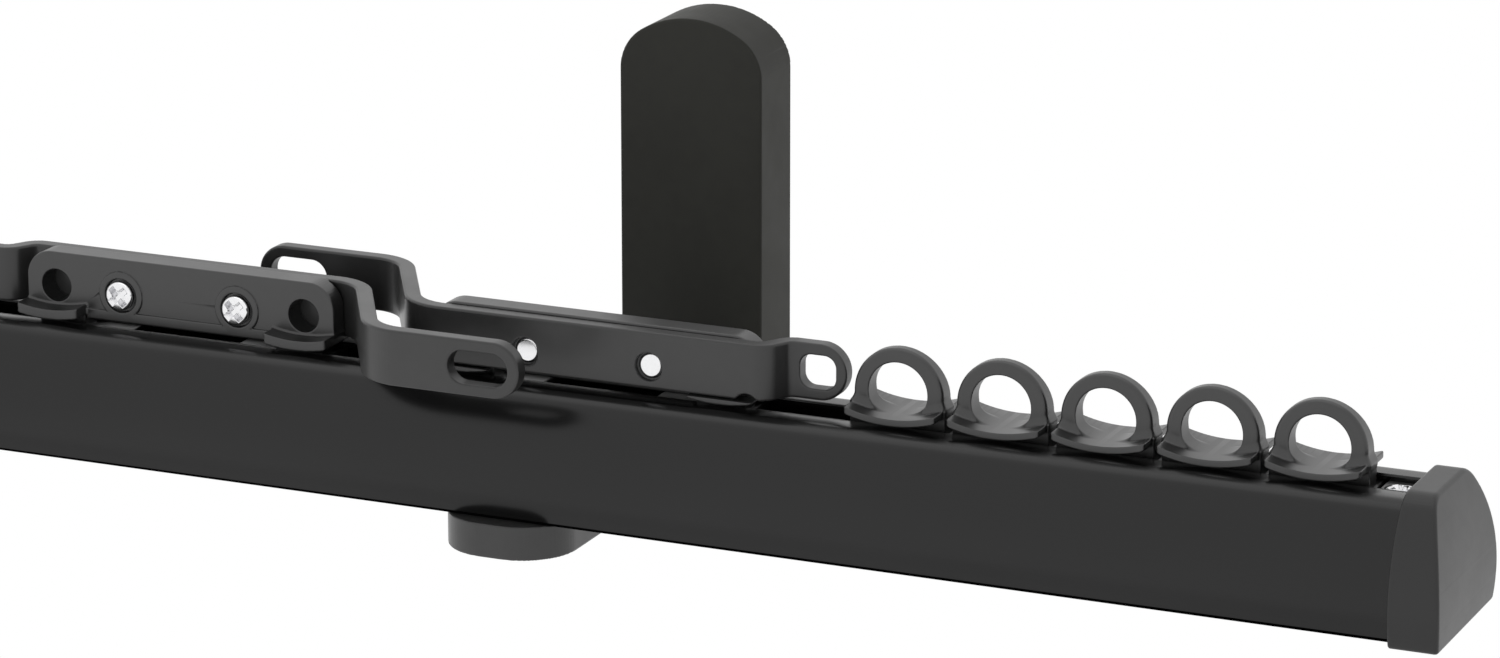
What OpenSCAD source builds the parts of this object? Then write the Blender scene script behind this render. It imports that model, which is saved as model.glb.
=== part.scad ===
// Ornamental curtain track with overlapping master carriers, ring gliders and
// two wall brackets, shown slot side up. X runs along the track, Y towards the
// wall, Z up. The origin is the centre of the four wall screw holes, on the
// wall's face.

/* [Track] */
// Length of the track extrusion
track_l = 711; // [700:1:1200]
// Height of the track, from its flat bottom to the lips of its slot
track_h = 23.7; // [23:0.1:25]
// Radius of the bulged front and back faces
bulge_r = 24.85; // [24.5:0.05:25.5]
// Height of the widest line of the bulge above the bottom
bulge_z = 6.5; // [6:0.5:8]
// How far each bulge's centre lies past the middle of the track
bulge_shift = 8.15; // [7.5:0.05:8.5]
// Radius of the two bottom corners
bottom_r = 0.7; // [0.5:0.1:1]
// Radius of the two top corners
top_r = 5.2; // [4.5:0.1:6]
// Wall thickness of the outer shell
shell_t = 1.3; // [1:0.1:1.3]
// Width of the slot that the carriers stand in
slot_w = 8.7; // [8.2:0.1:9]
// Thickness of the two lips beside the slot
lip_t = 1; // [0.8:0.1:1.2]
// Width of the runner channel under the lips
channel_w = 15; // [14.6:0.1:16]
// Height of the runner channel
channel_h = 8.5; // [8.5:0.1:9]
// Width of the mouth of the groove under the track
groove_mouth_w = 8; // [7:0.5:9]
// Width inside the groove under the track
groove_w = 14; // [13.6:0.1:15]
// Height inside the groove under the track
groove_h = 3.2; // [3:0.1:3.6]

/* [End caps and stops] */
// How far a cap's rim reaches back over the track
cap_lap = 4.8; // [4:0.1:6]
// How far a cap's bulged end stands past the track's end
cap_end = 4.6; // [4.4:0.1:5]
// Radius of a cap's end face, which is bulged from bottom to top
cap_end_r = 60; // [56:0.5:64]
// Height of the end face's outermost line above the bottom of the track
cap_end_z = 4.5; // [4:0.1:5]
// How far a cap stands proud of the track's sides and bottom
cap_proud = 1.15; // [1:0.05:1.5]
// How far a cap stands proud of the track's top
cap_top_proud = 1.65; // [1.2:0.05:2]
// Radius of a cap's two bottom corners
cap_bottom_r = 1; // [0.6:0.1:1.2]
// Radius of a cap's two top corners
cap_top_r = 6; // [5:0.1:7]
// Length of an end stop
stop_l = 6.8; // [6.6:0.1:8]
// Gap between an end stop and the rim of its cap
stop_gap = 0.1; // [0.1:0.1:1]

/* [Gliders] */
// Distance between the middles of two gliders that touch
glider_pitch = 20; // [19.9:0.1:20.4]
// Length of a glider's runner and neck
runner_l = 19.8; // [19.4:0.1:19.8]
// Outer radius of a glider's ring
ring_r = 8.7; // [8.4:0.1:8.9]
// Height of the ring's centre above the bottom of the track
ring_z = 29; // [28.5:0.05:29.4]
// Radius of the eye in the ring
eye_r = 5.75; // [5.5:0.05:6]
// Height of the eye's centre above the bottom of the track
eye_z = 29.35; // [29:0.05:29.6]
// Thickness of the ring across the track, up to its middle
ring_t = 4.5; // [4:0.1:5]
// Thickness of the ring at its top
ring_top_t = 2.8; // [2.4:0.1:4]
// Length of the saddle under the eye, along the track
saddle_l = 17.8; // [17:0.1:18.4]
// Depth of the saddle across the track
saddle_d = 13; // [12:0.5:14]
// Height of the saddle's lowest line above the bottom of the track
saddle_z = 25.55; // [25.4:0.05:25.8]
// Rise of the saddle from its lowest line to its ends
saddle_rise = 1.5; // [1.2:0.1:1.6]
// How much further a glider's saddle reaches at its back than in front
saddle_back = 1; // [0:0.1:1.2]
// Thickness of the saddle
saddle_t = 1.3; // [1.1:0.1:1.3]
// Thickness of the neck in the slot
neck_t = 4.4; // [4:0.1:5]

/* [Master carriers] */
// Length of a carrier block
block_l = 66.6; // [66:0.1:67]
// Thickness of a carrier block
block_t = 5.3; // [5:0.1:5.6]
// Height of a carrier block's top above the bottom of the track
block_top = 36.65; // [36:0.05:37]
// Height of a carrier block's underside above the bottom of the track
block_foot = 24.25; // [24:0.05:24.4]
// Radius of a carrier block's upper corners
block_r = 5.2; // [4.6:0.1:5.6]
// How far the screw bosses and the lower band stand proud of the block's face
boss_proud = 0.35; // [0.2:0.05:0.5]
// Radius of a screw boss
boss_r = 4.7; // [4.4:0.1:4.9]
// Height of the lower band's upper edge above the bottom of the track
band_z = 26.3; // [26:0.05:26.5]
// Distance from a block's middle to each of its two eyes
block_eye_x = 26.85; // [26.5:0.05:27]
// Radius of an eye in a block
block_eye_r = 3.2; // [3:0.05:3.3]
// Height of a block's eyes above the bottom of the track
block_eye_z = 30; // [29.6:0.05:30.2]
// Distance from a block's middle to each of its two screws
block_screw_x = 12.6; // [12.4:0.1:12.8]
// Height of a block's screws above the bottom of the track
block_screw_z = 29.6; // [29.3:0.05:29.8]
// Length of a block's saddle, along the track
block_saddle_l = 13.2; // [12.8:0.1:13.4]
// Rise of a block's saddle from its lowest line to its ends
block_saddle_rise = 0.8; // [0.6:0.1:1]
// Thickness of a master arm
arm_t = 3.2; // [3:0.1:3.4]
// Height of a master arm, from edge to edge
arm_h = 10.7; // [10.5:0.1:10.8]
// Height of a master arm's lower edge above the bottom of the track
arm_z = 25.55; // [25.3:0.05:25.8]
// Distance from a block's middle to the end of its long arm
long_end = 82.35; // [81:0.05:84]
// Distance that the long arm crosses over the track
long_cross = 26.25; // [26:0.05:27]
// Distance from a block's middle to the end of its short arm
short_end = 48.7; // [48:0.1:49.8]
// Distance that the short arm crosses over the track
short_cross = 6.4; // [6:0.1:6.6]
// Length of the long arm's slot
long_slot_l = 12.1; // [11.5:0.1:12.5]
// Length of the short arm's slot
short_slot_l = 7.1; // [6.8:0.1:7.4]
// Width of the slots in both arms
arm_slot_w = 6.4; // [6.2:0.1:6.6]

/* [Screws] */
// Radius of a master screw's thread
master_screw_r = 2.3; // [2.2:0.05:2.3]
// Radius of a master screw's head
master_head_r = 2.9; // [2.8:0.05:3]
// Height of a master screw's head
master_head_h = 2.3; // [2.2:0.1:2.4]
// How far a master screw's head stands proud of its boss
master_head_proud = 1.25; // [1.1:0.05:1.4]
// Radius of the threads of the other machine screws
screw_r = 2; // [1.9:0.05:2]
// Radius of the other machine screws' heads
head_r = 3.5; // [3.2:0.1:3.6]
// Height of the other machine screws' heads
head_h = 2.2; // [2:0.1:2.4]
// Radius of a stop screw's head
stop_head_r = 2.9; // [2.7:0.1:3]

/* [Wall brackets] */
// Distance between the middles of the two brackets
bracket_pitch = 358; // [350:1:400]
// Distance from the wall to the middle of the track
wall_gap = 85.3; // [80:0.1:90]
// Height of the wall screws' centre above the bottom of the track
hole_mid = 46; // [44:1:48]
// Distance between the two wall screws of a bracket
hole_pitch = 32; // [28:1:34]
// Radius of the wall screw holes
hole_r = 2.4; // [2:0.1:2.6]
// Width of a bracket's cover
cover_w = 30.3; // [30:0.1:31]
// Depth of a bracket's cover
cover_d = 14.6; // [14.2:0.1:15]
// Height of the cover's top above the bottom of the track
cover_top = 76.5; // [75:0.1:78]
// Height of the cover's bottom above the bottom of the track
cover_foot = -9; // [-10:0.5:-9]
// Radius of the sides of the cover's arched top
cover_r = 9.5; // [9:0.1:10]
// Radius of the middle of the cover's arched top
cover_big_r = 20; // [18:0.5:24]
// Wall thickness of the cover
cover_t = 1.6; // [1.4:0.1:1.8]
// Thickness of the wall plate
plate_t = 2.5; // [2:0.1:2.5]
// Width of a bracket's arm
bar_w = 25.2; // [25:0.1:26]
// Thickness of a bracket's arm
bar_t = 6.5; // [6:0.1:6.8]
// How far the arm reaches in front of the track's middle
bar_reach = 20; // [19:0.1:21]
// Radius of the corners at the arm's front end
bar_r = 10.5; // [8:0.1:12]

/* [Hidden] */
$fn = 64;

// Colours of the parts, as seen
satin_black = [0.10, 0.10, 0.10];
plastic_black = [0.14, 0.14, 0.14];
cover_black = [0.13, 0.13, 0.12];
bright_steel = [0.75, 0.75, 0.76];

// Small amounts: a cut's overrun, a close fit and a running gap
over = 1;
fit = 0.05;
run = 0.4;
thread_fit = 0.03;

// Track: where it lies, and its inner levels
track_y = -wall_gap;
track_z = -hole_mid;
lip_z = track_h - lip_t;
channel_z = lip_z - channel_h;
web_t = 1.2;
groove_lip_t = 1.5;
arc_steps = 12;
inner_r = 0.3;
cap_tongue = 3;

// End stops: their place in the channel, and their screws' heads
stop_x = track_l / 2 - cap_lap - stop_gap - stop_l / 2;
stop_head_h = 1.6;
stop_head_z = 22.7;

// Carriers: how they stand to each other, counted from the middle of the
// overlap, whose own place follows from the row of gliders up to the right stop
row_count = 5;
block_gap = 21;
arm_gap = 1.9;
rest_gap = 1.1;
master_x = (block_l + block_gap) / 2;
first_glider_x = master_x + short_end + arm_gap + runner_l / 2;
last_glider_x = stop_x - stop_l / 2 - rest_gap - runner_l / 2;
overlap_x = last_glider_x - (row_count - 1) * glider_pitch - first_glider_x;
run_top = lip_z - run;
runner_h = 5;
runner_w = channel_w - 2 * run;
runner_z = run_top - runner_h;
neck_top = 26.35;
neck_in = 0.6;
eye_floor = 25.1;
foot_inset = 2;
foot_lap = 2;
leg_x = 7.3;
leg_w = 2.8;
leg_foot = 4;
leg_low = 26;
leg_high = 28.3;

// Master arm: a strip behind the block, bent across the track at both ends
strip_y = (block_t + arm_t) / 2;
bend_r = 10;
bend_angle = 60;
long_bend_in = 2.9;
long_corner = block_l / 2 + long_bend_in;
short_bend_r = 3.2;
short_bend_in = 1.6;
short_corner = block_l / 2 + short_bend_in;
long_slot_in = 8.45;
long_slot_x = long_end - long_slot_in;
short_slot_in = 5.5;
short_slot_x = short_end - short_slot_in;
arm_mid_z = arm_z + arm_h / 2;
recess_r = 3.36;
tip_recess_r = 2.75;
tip_recess_d = 1.7;
relief_in = 3.2;
relief_d = 0.7;
notch_in = 1.15;
notch_x = block_l / 2 - notch_in;
notch_r = 2.4;
notch_drop = 1.2;
block_bottom_r = 1.5;

// Screw heads: a low dome with a recess of two crossed bars
cross_w = 0.9;
cross_l = 3.2;
cross_d = 1.1;
head_dome = 0.4;

// Bracket: plate, arm upright, clamp and screws
plate_w = 25;
plate_gap = 3;
plate_foot = cover_foot + plate_gap;
plate_top = cover_top - plate_gap;
plate_r = 10;
upright_w = 18;
upright_t = 6;
upright_top = 22;
bracket_screw_low = 8;
bracket_screw_pitch = 8;
bracket_screw_z = [bracket_screw_low, bracket_screw_low + bracket_screw_pitch];
nut_l = 18;
nut_w = groove_w - 2 * run;
nut_t = groove_h - run;

// Points of an arc round c, from angle a to angle b
function arc(c, r, a, b) = [
    for (i = [0:arc_steps]) let (t = a + (b - a) * i / arc_steps)
        [c[0] + r * cos(t), c[1] + r * sin(t)]
];

// Corner of radius r between a bulge of radius big and a level line at height
// z, where the bulge's centre is at -bulge_shift. dir is 1 for a top line.
function corner_y(big, z, r, dir) =
    sqrt(pow(big - r, 2) - pow(z - dir * r - bulge_z, 2)) - bulge_shift;
function corner_angle(big, z, r, dir) =
    atan2(z - dir * r - bulge_z, corner_y(big, z, r, dir) + bulge_shift);

// Right half of the track's outline, pushed out by g, from bottom to top,
// with corners of radius low at the bottom and high at the top
function half_outline(g, top, low, high) =
    let (
        big = bulge_r + g,
        low_y = corner_y(big, -g, low, -1),
        high_y = corner_y(big, top, high, 1),
        low_a = corner_angle(big, -g, low, -1),
        high_a = corner_angle(big, top, high, 1)
    )
    concat(
        arc([low_y, low - g], low, -90, low_a),
        arc([-bulge_shift, bulge_z], big, low_a, high_a),
        arc([high_y, top - high], high, high_a, 90)
    );

function mirrored(points) =
    [for (i = [len(points) - 1:-1:0]) [-points[i][0], points[i][1]]];

module outline(g = 0, top = track_h, low = bottom_r, high = top_r) {
    half = half_outline(g, top, low, high);
    polygon(concat(half, mirrored(half)));
}

// Stands a (y, z) outline up and runs it along x from a to b
module along_track(a, b) {
    translate([a, 0, 0])
        rotate([90, 0, 90])
            linear_extrude(b - a) children();
}

// Moves from the frame of the track's middle and bottom to the part's frame
module on_track(x = 0) {
    translate([x, track_y, track_z]) children();
}

module slab(x, y, z) {
    translate([x[0], y[0], z[0]])
        cube([x[1] - x[0], y[1] - y[0], z[1] - z[0]]);
}

// A round bar along y from a to b
module bar_y(r, a, b) {
    translate([0, a, 0])
        rotate([-90, 0, 0]) cylinder(r = r, h = b - a);
}

// A round-ended slot of length l and width w, through y from a to b
module slot_y(l, w, a, b) {
    reach = (l - w) / 2;
    for (s = [-1, 1]) translate([s * reach, 0, 0]) bar_y(w / 2, a, b);
    if (reach > 0) slab([-reach, reach], [a, b], [-w / 2, w / 2]);
}

// A pan head screw along -z with its head's top at z = 0
module pan_screw(r, top_r, top_h, l) {
    difference() {
        union() {
            translate([0, 0, -l]) cylinder(r = r, h = l - top_h / 2);
            translate([0, 0, -top_h]) cylinder(r = top_r, h = top_h - head_dome);
            translate([0, 0, -head_dome])
                cylinder(r1 = top_r, r2 = top_r - head_dome, h = head_dome);
        }
        for (a = [0, 90]) rotate([0, 0, a])
            translate([-cross_l / 2, -cross_w / 2, -cross_d])
                cube([cross_l, cross_w, cross_d + over]);
    }
}

// A curved saddle, lowest at x = 0 and rising to its ends
module saddle(l, y, rise) {
    r = (pow(l / 2, 2) + pow(rise, 2)) / (2 * rise);
    intersection() {
        translate([0, 0, saddle_z + r])
            difference() {
                bar_y(r + saddle_t, y[0], y[1]);
                bar_y(r, y[0] - over, y[1] + over);
            }
        slab([-l / 2, l / 2], [y[0] - over, y[1] + over],
             [saddle_z - saddle_t - over, saddle_z + rise]);
    }
}

// Runner in the channel, with the slightly shorter neck that stands up through
// the slot
module runner(l, top) {
    slab([-l / 2, l / 2], [-runner_w / 2, runner_w / 2], [runner_z, run_top]);
    slab([neck_in - l / 2, l / 2 - neck_in], [-neck_t / 2, neck_t / 2],
         [run_top - over, top]);
}

module track_section() {
    channel = [channel_w / 2, channel_z];
    difference() {
        union() {
            difference() {
                outline();
                outline(-shell_t, lip_z, inner_r, inner_r);
            }
            translate([-channel[0] - web_t, channel[1] - web_t])
                square([channel_w + 2 * web_t, channel_h + web_t + lip_t / 2]);
            translate([-groove_w / 2 - web_t, shell_t / 2])
                square([groove_w + 2 * web_t,
                        groove_lip_t + groove_h + web_t - shell_t / 2]);
        }
        translate([-channel[0], channel[1]]) square([channel_w, channel_h]);
        translate([-slot_w / 2, lip_z - over]) square([slot_w, lip_t + 2 * over]);
        translate([-groove_w / 2, groove_lip_t]) square([groove_w, groove_h]);
        translate([-groove_mouth_w / 2, -over])
            square([groove_mouth_w, groove_lip_t + 2 * over]);
    }
}

module track() {
    color(satin_black)
        on_track() along_track(-track_l / 2, track_l / 2) track_section();
}

module end_cap() {
    end = track_l / 2;
    color(satin_black)
        difference() {
            intersection() {
                along_track(end - cap_lap, end + cap_end)
                    outline(cap_proud, track_h + cap_top_proud,
                            cap_bottom_r, cap_top_r);
                translate([end + cap_end - cap_end_r, 0, cap_end_z])
                    bar_y(cap_end_r, -track_h, track_h);
            }
            along_track(end - cap_lap - over, end + fit)
                outline(fit, track_h + fit);
        }
    color(satin_black)
        slab([end - cap_tongue, end + 2 * fit],
             [-channel_w / 2 + run, channel_w / 2 - run],
             [channel_z + run, run_top]);
}

module end_stop() {
    color(plastic_black)
        difference() {
            slab([-stop_l / 2, stop_l / 2],
                 [-channel_w / 2 + fit, channel_w / 2 - fit],
                 [channel_z + over, lip_z - fit]);
            cylinder(r = screw_r + fit, h = track_h + over);
            translate([0, 0, stop_head_z - stop_head_h - fit])
                cylinder(r = stop_head_r + fit, h = track_h);
        }
}

module stop_screws() {
    color(bright_steel)
        for (s = [-1, 1]) on_track(s * stop_x)
            translate([0, 0, stop_head_z])
                pan_screw(screw_r, stop_head_r, stop_head_h,
                          stop_head_z - channel_z);
}

module glider() {
    color(plastic_black) {
        difference() {
            union() {
                ring();
                runner(runner_l, neck_top);
            }
            translate([0, 0, eye_z])
                intersection() {
                    bar_y(eye_r, -ring_t, ring_t);
                    slab([-ring_r, ring_r], [-ring_t, ring_t],
                         [eye_floor - eye_z, ring_r]);
                }
            saddle_space();
        }
        saddle(saddle_l, [-saddle_d / 2, saddle_d / 2 + saddle_back], saddle_rise);
    }
}

// Disc of the ring, its back tapering towards the top, on two flared legs
module ring() {
    half = ring_t / 2;
    back = ring_top_t - half;
    intersection() {
        translate([0, 0, ring_z]) bar_y(ring_r, -half, half);
        along_track(-ring_r, ring_r)
            polygon([[-half, ring_z - ring_r], [half, ring_z - ring_r],
                     [half, ring_z], [back, ring_z + ring_r],
                     [-half, ring_z + ring_r]]);
    }
    for (s = [-1, 1]) translate([s * leg_x, 0, 0])
        along_track(-leg_w / 2, leg_w / 2)
            polygon([[-leg_foot, leg_low], [leg_foot, leg_low],
                     [half, leg_high], [-half, leg_high]]);
}

// Room over the saddle, inside the eye
module saddle_space() {
    r = (pow(saddle_l / 2, 2) + pow(saddle_rise, 2)) / (2 * saddle_rise);
    intersection() {
        translate([0, 0, saddle_z + r]) bar_y(r, -ring_t, ring_t);
        translate([0, 0, eye_z]) bar_y(eye_r, -ring_t, ring_t);
    }
}

// Profile of a carrier block in the x-z plane, run through y from a to b
module block_profile(a, b) {
    reach = block_l / 2 - block_r;
    foot = block_l / 2 - block_bottom_r;
    for (s = [-1, 1]) {
        translate([s * reach, 0, block_top - block_r]) bar_y(block_r, a, b);
        translate([s * foot, 0, block_foot + 2 * block_bottom_r])
            bar_y(block_bottom_r, a, b);
    }
    slab([-reach, reach], [a, b], [block_foot + block_bottom_r, block_top]);
    slab([-block_l / 2, block_l / 2], [a, b],
         [block_foot + 2 * block_bottom_r, block_top - block_r]);
    slab([-foot, foot], [a, b],
         [block_foot + block_bottom_r, block_top - block_r]);
}

module master_block() {
    front = -block_t / 2;
    face = front + boss_proud;
    back = block_t / 2;
    band = block_eye_x - block_saddle_l / 2;
    feet_x = (block_l - runner_l) / 2 - foot_inset;
    seat = front + master_head_h - master_head_proud;
    color(plastic_black)
        difference() {
            union() {
                block_profile(face, back);
                slab([-band, band], [front, back], [block_foot, band_z]);
                for (s = [-1, 1]) {
                    translate([s * block_screw_x, 0, block_screw_z])
                        bar_y(boss_r, front, back);
                    translate([s * block_eye_x, 0, 0]) block_saddle();
                    translate([s * feet_x, 0, 0]) runner(runner_l, block_foot + foot_lap);
                }
            }
            for (s = [-1, 1]) {
                translate([s * block_eye_x, 0, block_eye_z])
                    bar_y(block_eye_r, front - over, back + over);
                translate([s * block_screw_x, 0, block_screw_z]) {
                    bar_y(master_screw_r + fit, front - over, back + over);
                    bar_y(recess_r, front - over, seat);
                }
            }
            // Room for the inside of the arm's first bend
            slab([block_l / 2 - relief_in, block_l], [back - relief_d, back + over],
                 [arm_z - fit, block_top + over]);
        }
}

// Saddle under an eye of the block: whole in front, under the strip behind
module block_saddle() {
    back = block_t / 2;
    saddle(block_saddle_l, [-saddle_d / 2, back], block_saddle_rise);
    intersection() {
        saddle(block_saddle_l, [back - over, saddle_d / 2], block_saddle_rise);
        slab([-block_saddle_l, block_saddle_l], [0, saddle_d],
             [0, arm_z - fit]);
    }
}

// Points of a bend of angle turn at corner c, entered along direction a
function bend(c, a, turn, r, grow) =
    let (
        side = turn > 0 ? 1 : -1,
        reach = r * tan(abs(turn) / 2),
        start = c - reach * [cos(a), sin(a)],
        mid = start + side * r * [-sin(a), cos(a)]
    )
    arc(mid, r - side * grow, a - side * 90, a - side * 90 + turn);

// Plan of a master arm's edge, grow to the left of its middle line
function arm_edge(grow) =
    let (
        long_y = strip_y - long_cross,
        short_y = strip_y - short_cross,
        long_in = long_cross / tan(bend_angle),
        short_in = short_cross / tan(bend_angle)
    )
    concat(
        [[-short_end + arm_h / 2, short_y + grow]],
        bend([-short_corner - short_in, short_y], 0, bend_angle,
             short_bend_r, grow),
        bend([-short_corner, strip_y], bend_angle, -bend_angle,
             short_bend_r, grow),
        bend([long_corner, strip_y], 0, -bend_angle, bend_r, grow),
        bend([long_corner + long_in, long_y], -bend_angle, bend_angle,
             bend_r, grow),
        [[long_end - arm_h / 2, long_y + grow]]
    );

function reversed(points) = [for (i = [len(points) - 1:-1:0]) points[i]];

// Round end of a master arm: a disc across the strip at x, y
module arm_tip(x, y) {
    translate([x, y, arm_mid_z]) bar_y(arm_h / 2, -arm_t / 2, arm_t / 2);
}

module master_arm() {
    far = 2 * long_cross;
    back = block_t / 2 + arm_t;
    color(satin_black)
        difference() {
            union() {
                translate([0, 0, arm_z])
                    linear_extrude(arm_h)
                        polygon(concat(arm_edge(arm_t / 2),
                                       reversed(arm_edge(-arm_t / 2))));
                arm_tip(long_end - arm_h / 2, strip_y - long_cross);
                arm_tip(-short_end + arm_h / 2, strip_y - short_cross);
            }
            translate([long_slot_x, 0, arm_mid_z])
                slot_y(long_slot_l, arm_slot_w, -far, far);
            translate([-short_slot_x, 0, arm_mid_z])
                slot_y(short_slot_l, arm_slot_w, -far, far);
            for (s = [-1, 1])
                translate([s * block_screw_x, 0, block_screw_z]) {
                    bar_y(master_screw_r + thread_fit, 0, back + over);
                    bar_y(tip_recess_r, back - tip_recess_d, back + over);
                }
            translate([-notch_x, 0, arm_z - notch_drop])
                bar_y(notch_r, 0, back + over);
        }
}

module master_screws() {
    top = -block_t / 2 - master_head_proud;
    tip = block_t / 2 + arm_t - tip_recess_d;
    color(bright_steel)
        for (s = [-1, 1])
            translate([s * block_screw_x, top, block_screw_z])
                rotate([90, 0, 0])
                    pan_screw(master_screw_r, master_head_r, master_head_h,
                              tip - top);
}

// The left carrier as drawn, or the right one: the same part turned round
module left_master() {
    on_track(overlap_x - master_x) children();
}

module right_master() {
    on_track(overlap_x + master_x) rotate([0, 0, 180]) children();
}

module place_glider(side, i) {
    on_track(overlap_x + side * (first_glider_x + (i - 1) * glider_pitch))
        glider();
}

// Arched outline in the x-z plane, with upper corners of radius r
module arch(w, foot, top, r, a, b) {
    for (s = [-1, 1]) translate([s * (w / 2 - r), 0, top - r]) bar_y(r, a, b);
    slab([-w / 2, w / 2], [a, b], [foot, top - r]);
    slab([r - w / 2, w / 2 - r], [a, b], [top - r - over, top]);
}

// The cover's outline in the x-z plane, drawn in by g: an arch of three arcs
module cover_arch(g, a, b) {
    side_x = cover_w / 2 - cover_r;
    drop = sqrt(pow(cover_big_r - cover_r, 2) - pow(side_x, 2));
    big_z = cover_top - cover_big_r;
    side_z = big_z + drop;
    join_x = side_x * (cover_big_r - g) / (cover_big_r - cover_r);
    for (s = [-1, 1]) translate([s * side_x, 0, side_z]) bar_y(cover_r - g, a, b);
    slab([g - cover_w / 2, cover_w / 2 - g], [a, b], [cover_foot + g, side_z]);
    intersection() {
        translate([0, 0, big_z]) bar_y(cover_big_r - g, a, b);
        slab([-join_x, join_x], [a - over, b + over], [side_z - over, cover_top]);
    }
}

// A bracket's own frame: the middle of its width, wall face, track's bottom
module at_bracket(side) {
    translate([side * bracket_pitch / 2, 0, track_z]) children();
}

module wall_plate() {
    color(bright_steel)
        difference() {
            arch(plate_w, plate_foot, plate_top, plate_r, -plate_t, 0);
            for (s = [-1, 1])
                translate([0, 0, hole_mid + s * hole_pitch / 2])
                    bar_y(hole_r, -plate_t - over, over);
            for (z = bracket_screw_z)
                translate([0, 0, z])
                    bar_y(screw_r + thread_fit, -plate_t - over, over);
        }
}

module wall_cover() {
    mouth = run / 2;
    color(cover_black)
        difference() {
            cover_arch(0, -cover_d, 0);
            cover_arch(cover_t, -cover_d + cover_t, over);
            slab([-bar_w / 2 - mouth, bar_w / 2 + mouth],
                 [-cover_d - over, -cover_d + 2 * cover_t],
                 [-bar_t - mouth, mouth]);
        }
}

module bracket_arm() {
    front = track_y - bar_reach;
    back = -plate_t;
    flat = bar_w / 2 - bar_r;
    upright = back - upright_t;
    color(satin_black)
        difference() {
            union() {
                slab([-bar_w / 2 + cover_t, bar_w / 2 - cover_t],
                     [upright, back], [-bar_t, 0]);
                slab([-bar_w / 2, bar_w / 2], [front + bar_r, upright],
                     [-bar_t, 0]);
                slab([-flat, flat], [front, front + bar_r + over],
                     [-bar_t, 0]);
                for (s = [-1, 1])
                    translate([s * flat, front + bar_r, -bar_t])
                        cylinder(r = bar_r, h = bar_t);
                slab([-upright_w / 2, upright_w / 2], [upright, back],
                     [-bar_t, upright_top]);
            }
            for (z = bracket_screw_z)
                translate([0, 0, z]) bar_y(screw_r + fit, upright - over, over);
            translate([0, track_y, -bar_t - over]) {
                cylinder(r = screw_r + fit, h = bar_t + 2 * over);
                cylinder(r = head_r + run, h = over + head_h + fit);
            }
        }
}

module bracket_screws() {
    seat = -plate_t - upright_t - head_h;
    color(bright_steel)
        for (side = [-1, 1], z = bracket_screw_z)
            at_bracket(side) translate([0, seat, z])
                rotate([90, 0, 0])
                    pan_screw(screw_r, head_r, head_h, -seat);
}

module clamp_nut() {
    color(bright_steel)
        translate([0, track_y, groove_lip_t])
            difference() {
                slab([-nut_l / 2, nut_l / 2], [-nut_w / 2, nut_w / 2],
                     [0, nut_t]);
                translate([0, 0, -over])
                    cylinder(r = screw_r + thread_fit, h = nut_t + 2 * over);
            }
}

module clamp_screws() {
    color(bright_steel)
        for (side = [-1, 1])
            at_bracket(side) translate([0, track_y, -bar_t])
                rotate([180, 0, 0]) pan_screw(screw_r, head_r, head_h,
                    bar_t + groove_lip_t + nut_t);
}

track();
on_track() end_cap();  // end_cap_right
on_track() mirror([1, 0, 0]) end_cap();  // end_cap_left
on_track(stop_x) end_stop();  // end_stop_right
on_track(-stop_x) end_stop();  // end_stop_left
stop_screws();
place_glider(1, 1);  // glider_right_1
place_glider(1, 2);  // glider_right_2
place_glider(1, 3);  // glider_right_3
place_glider(1, 4);  // glider_right_4
place_glider(1, 5);  // glider_right_5
place_glider(-1, 1);  // glider_left_1
place_glider(-1, 2);  // glider_left_2
place_glider(-1, 3);  // glider_left_3
place_glider(-1, 4);  // glider_left_4
place_glider(-1, 5);  // glider_left_5
right_master() master_block();  // master_block_right
right_master() master_arm();  // master_arm_right
right_master() master_screws();  // master_screws_right
left_master() master_block();  // master_block_left
left_master() master_arm();  // master_arm_left
left_master() master_screws();  // master_screws_left
at_bracket(1) wall_plate();  // wall_plate_right
at_bracket(1) wall_cover();  // wall_cover_right
at_bracket(1) bracket_arm();  // bracket_arm_right
at_bracket(-1) wall_plate();  // wall_plate_left
at_bracket(-1) wall_cover();  // wall_cover_left
at_bracket(-1) bracket_arm();  // bracket_arm_left
bracket_screws();
at_bracket(1) clamp_nut();  // clamp_nut_right
at_bracket(-1) clamp_nut();  // clamp_nut_left
clamp_screws();
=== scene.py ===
"""Looks of an ornamental curtain track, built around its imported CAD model.

Shapes are worked out in millimetres in the track's own frame: x along the track,
y across it from its middle towards the wall, z up from its flat bottom. The moulded
and bent pieces are solids written as signed distances and turned into meshes.
"""

import logging
import math
from collections.abc import Callable, Sequence
from dataclasses import dataclass, field
from enum import Enum

import bmesh
import bpy
import numpy as np
from mathutils import Matrix, Vector

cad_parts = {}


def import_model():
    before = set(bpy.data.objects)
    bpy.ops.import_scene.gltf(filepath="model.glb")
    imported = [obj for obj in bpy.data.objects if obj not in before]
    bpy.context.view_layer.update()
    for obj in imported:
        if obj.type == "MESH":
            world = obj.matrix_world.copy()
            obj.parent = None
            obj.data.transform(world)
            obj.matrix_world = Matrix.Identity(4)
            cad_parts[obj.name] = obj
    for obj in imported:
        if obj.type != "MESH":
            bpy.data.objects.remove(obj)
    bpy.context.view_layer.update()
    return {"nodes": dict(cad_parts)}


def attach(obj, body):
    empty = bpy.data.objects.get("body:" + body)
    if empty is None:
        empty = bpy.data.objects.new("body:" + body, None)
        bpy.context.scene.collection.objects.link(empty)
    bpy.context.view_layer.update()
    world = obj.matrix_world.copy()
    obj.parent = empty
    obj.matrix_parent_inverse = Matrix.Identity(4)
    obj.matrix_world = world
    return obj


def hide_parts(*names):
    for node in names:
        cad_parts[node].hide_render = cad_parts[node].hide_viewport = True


LOG = logging.getLogger("curtain_track")
MM = 0.001
TINY = 1e-9
QUARTER = math.pi / 2
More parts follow.
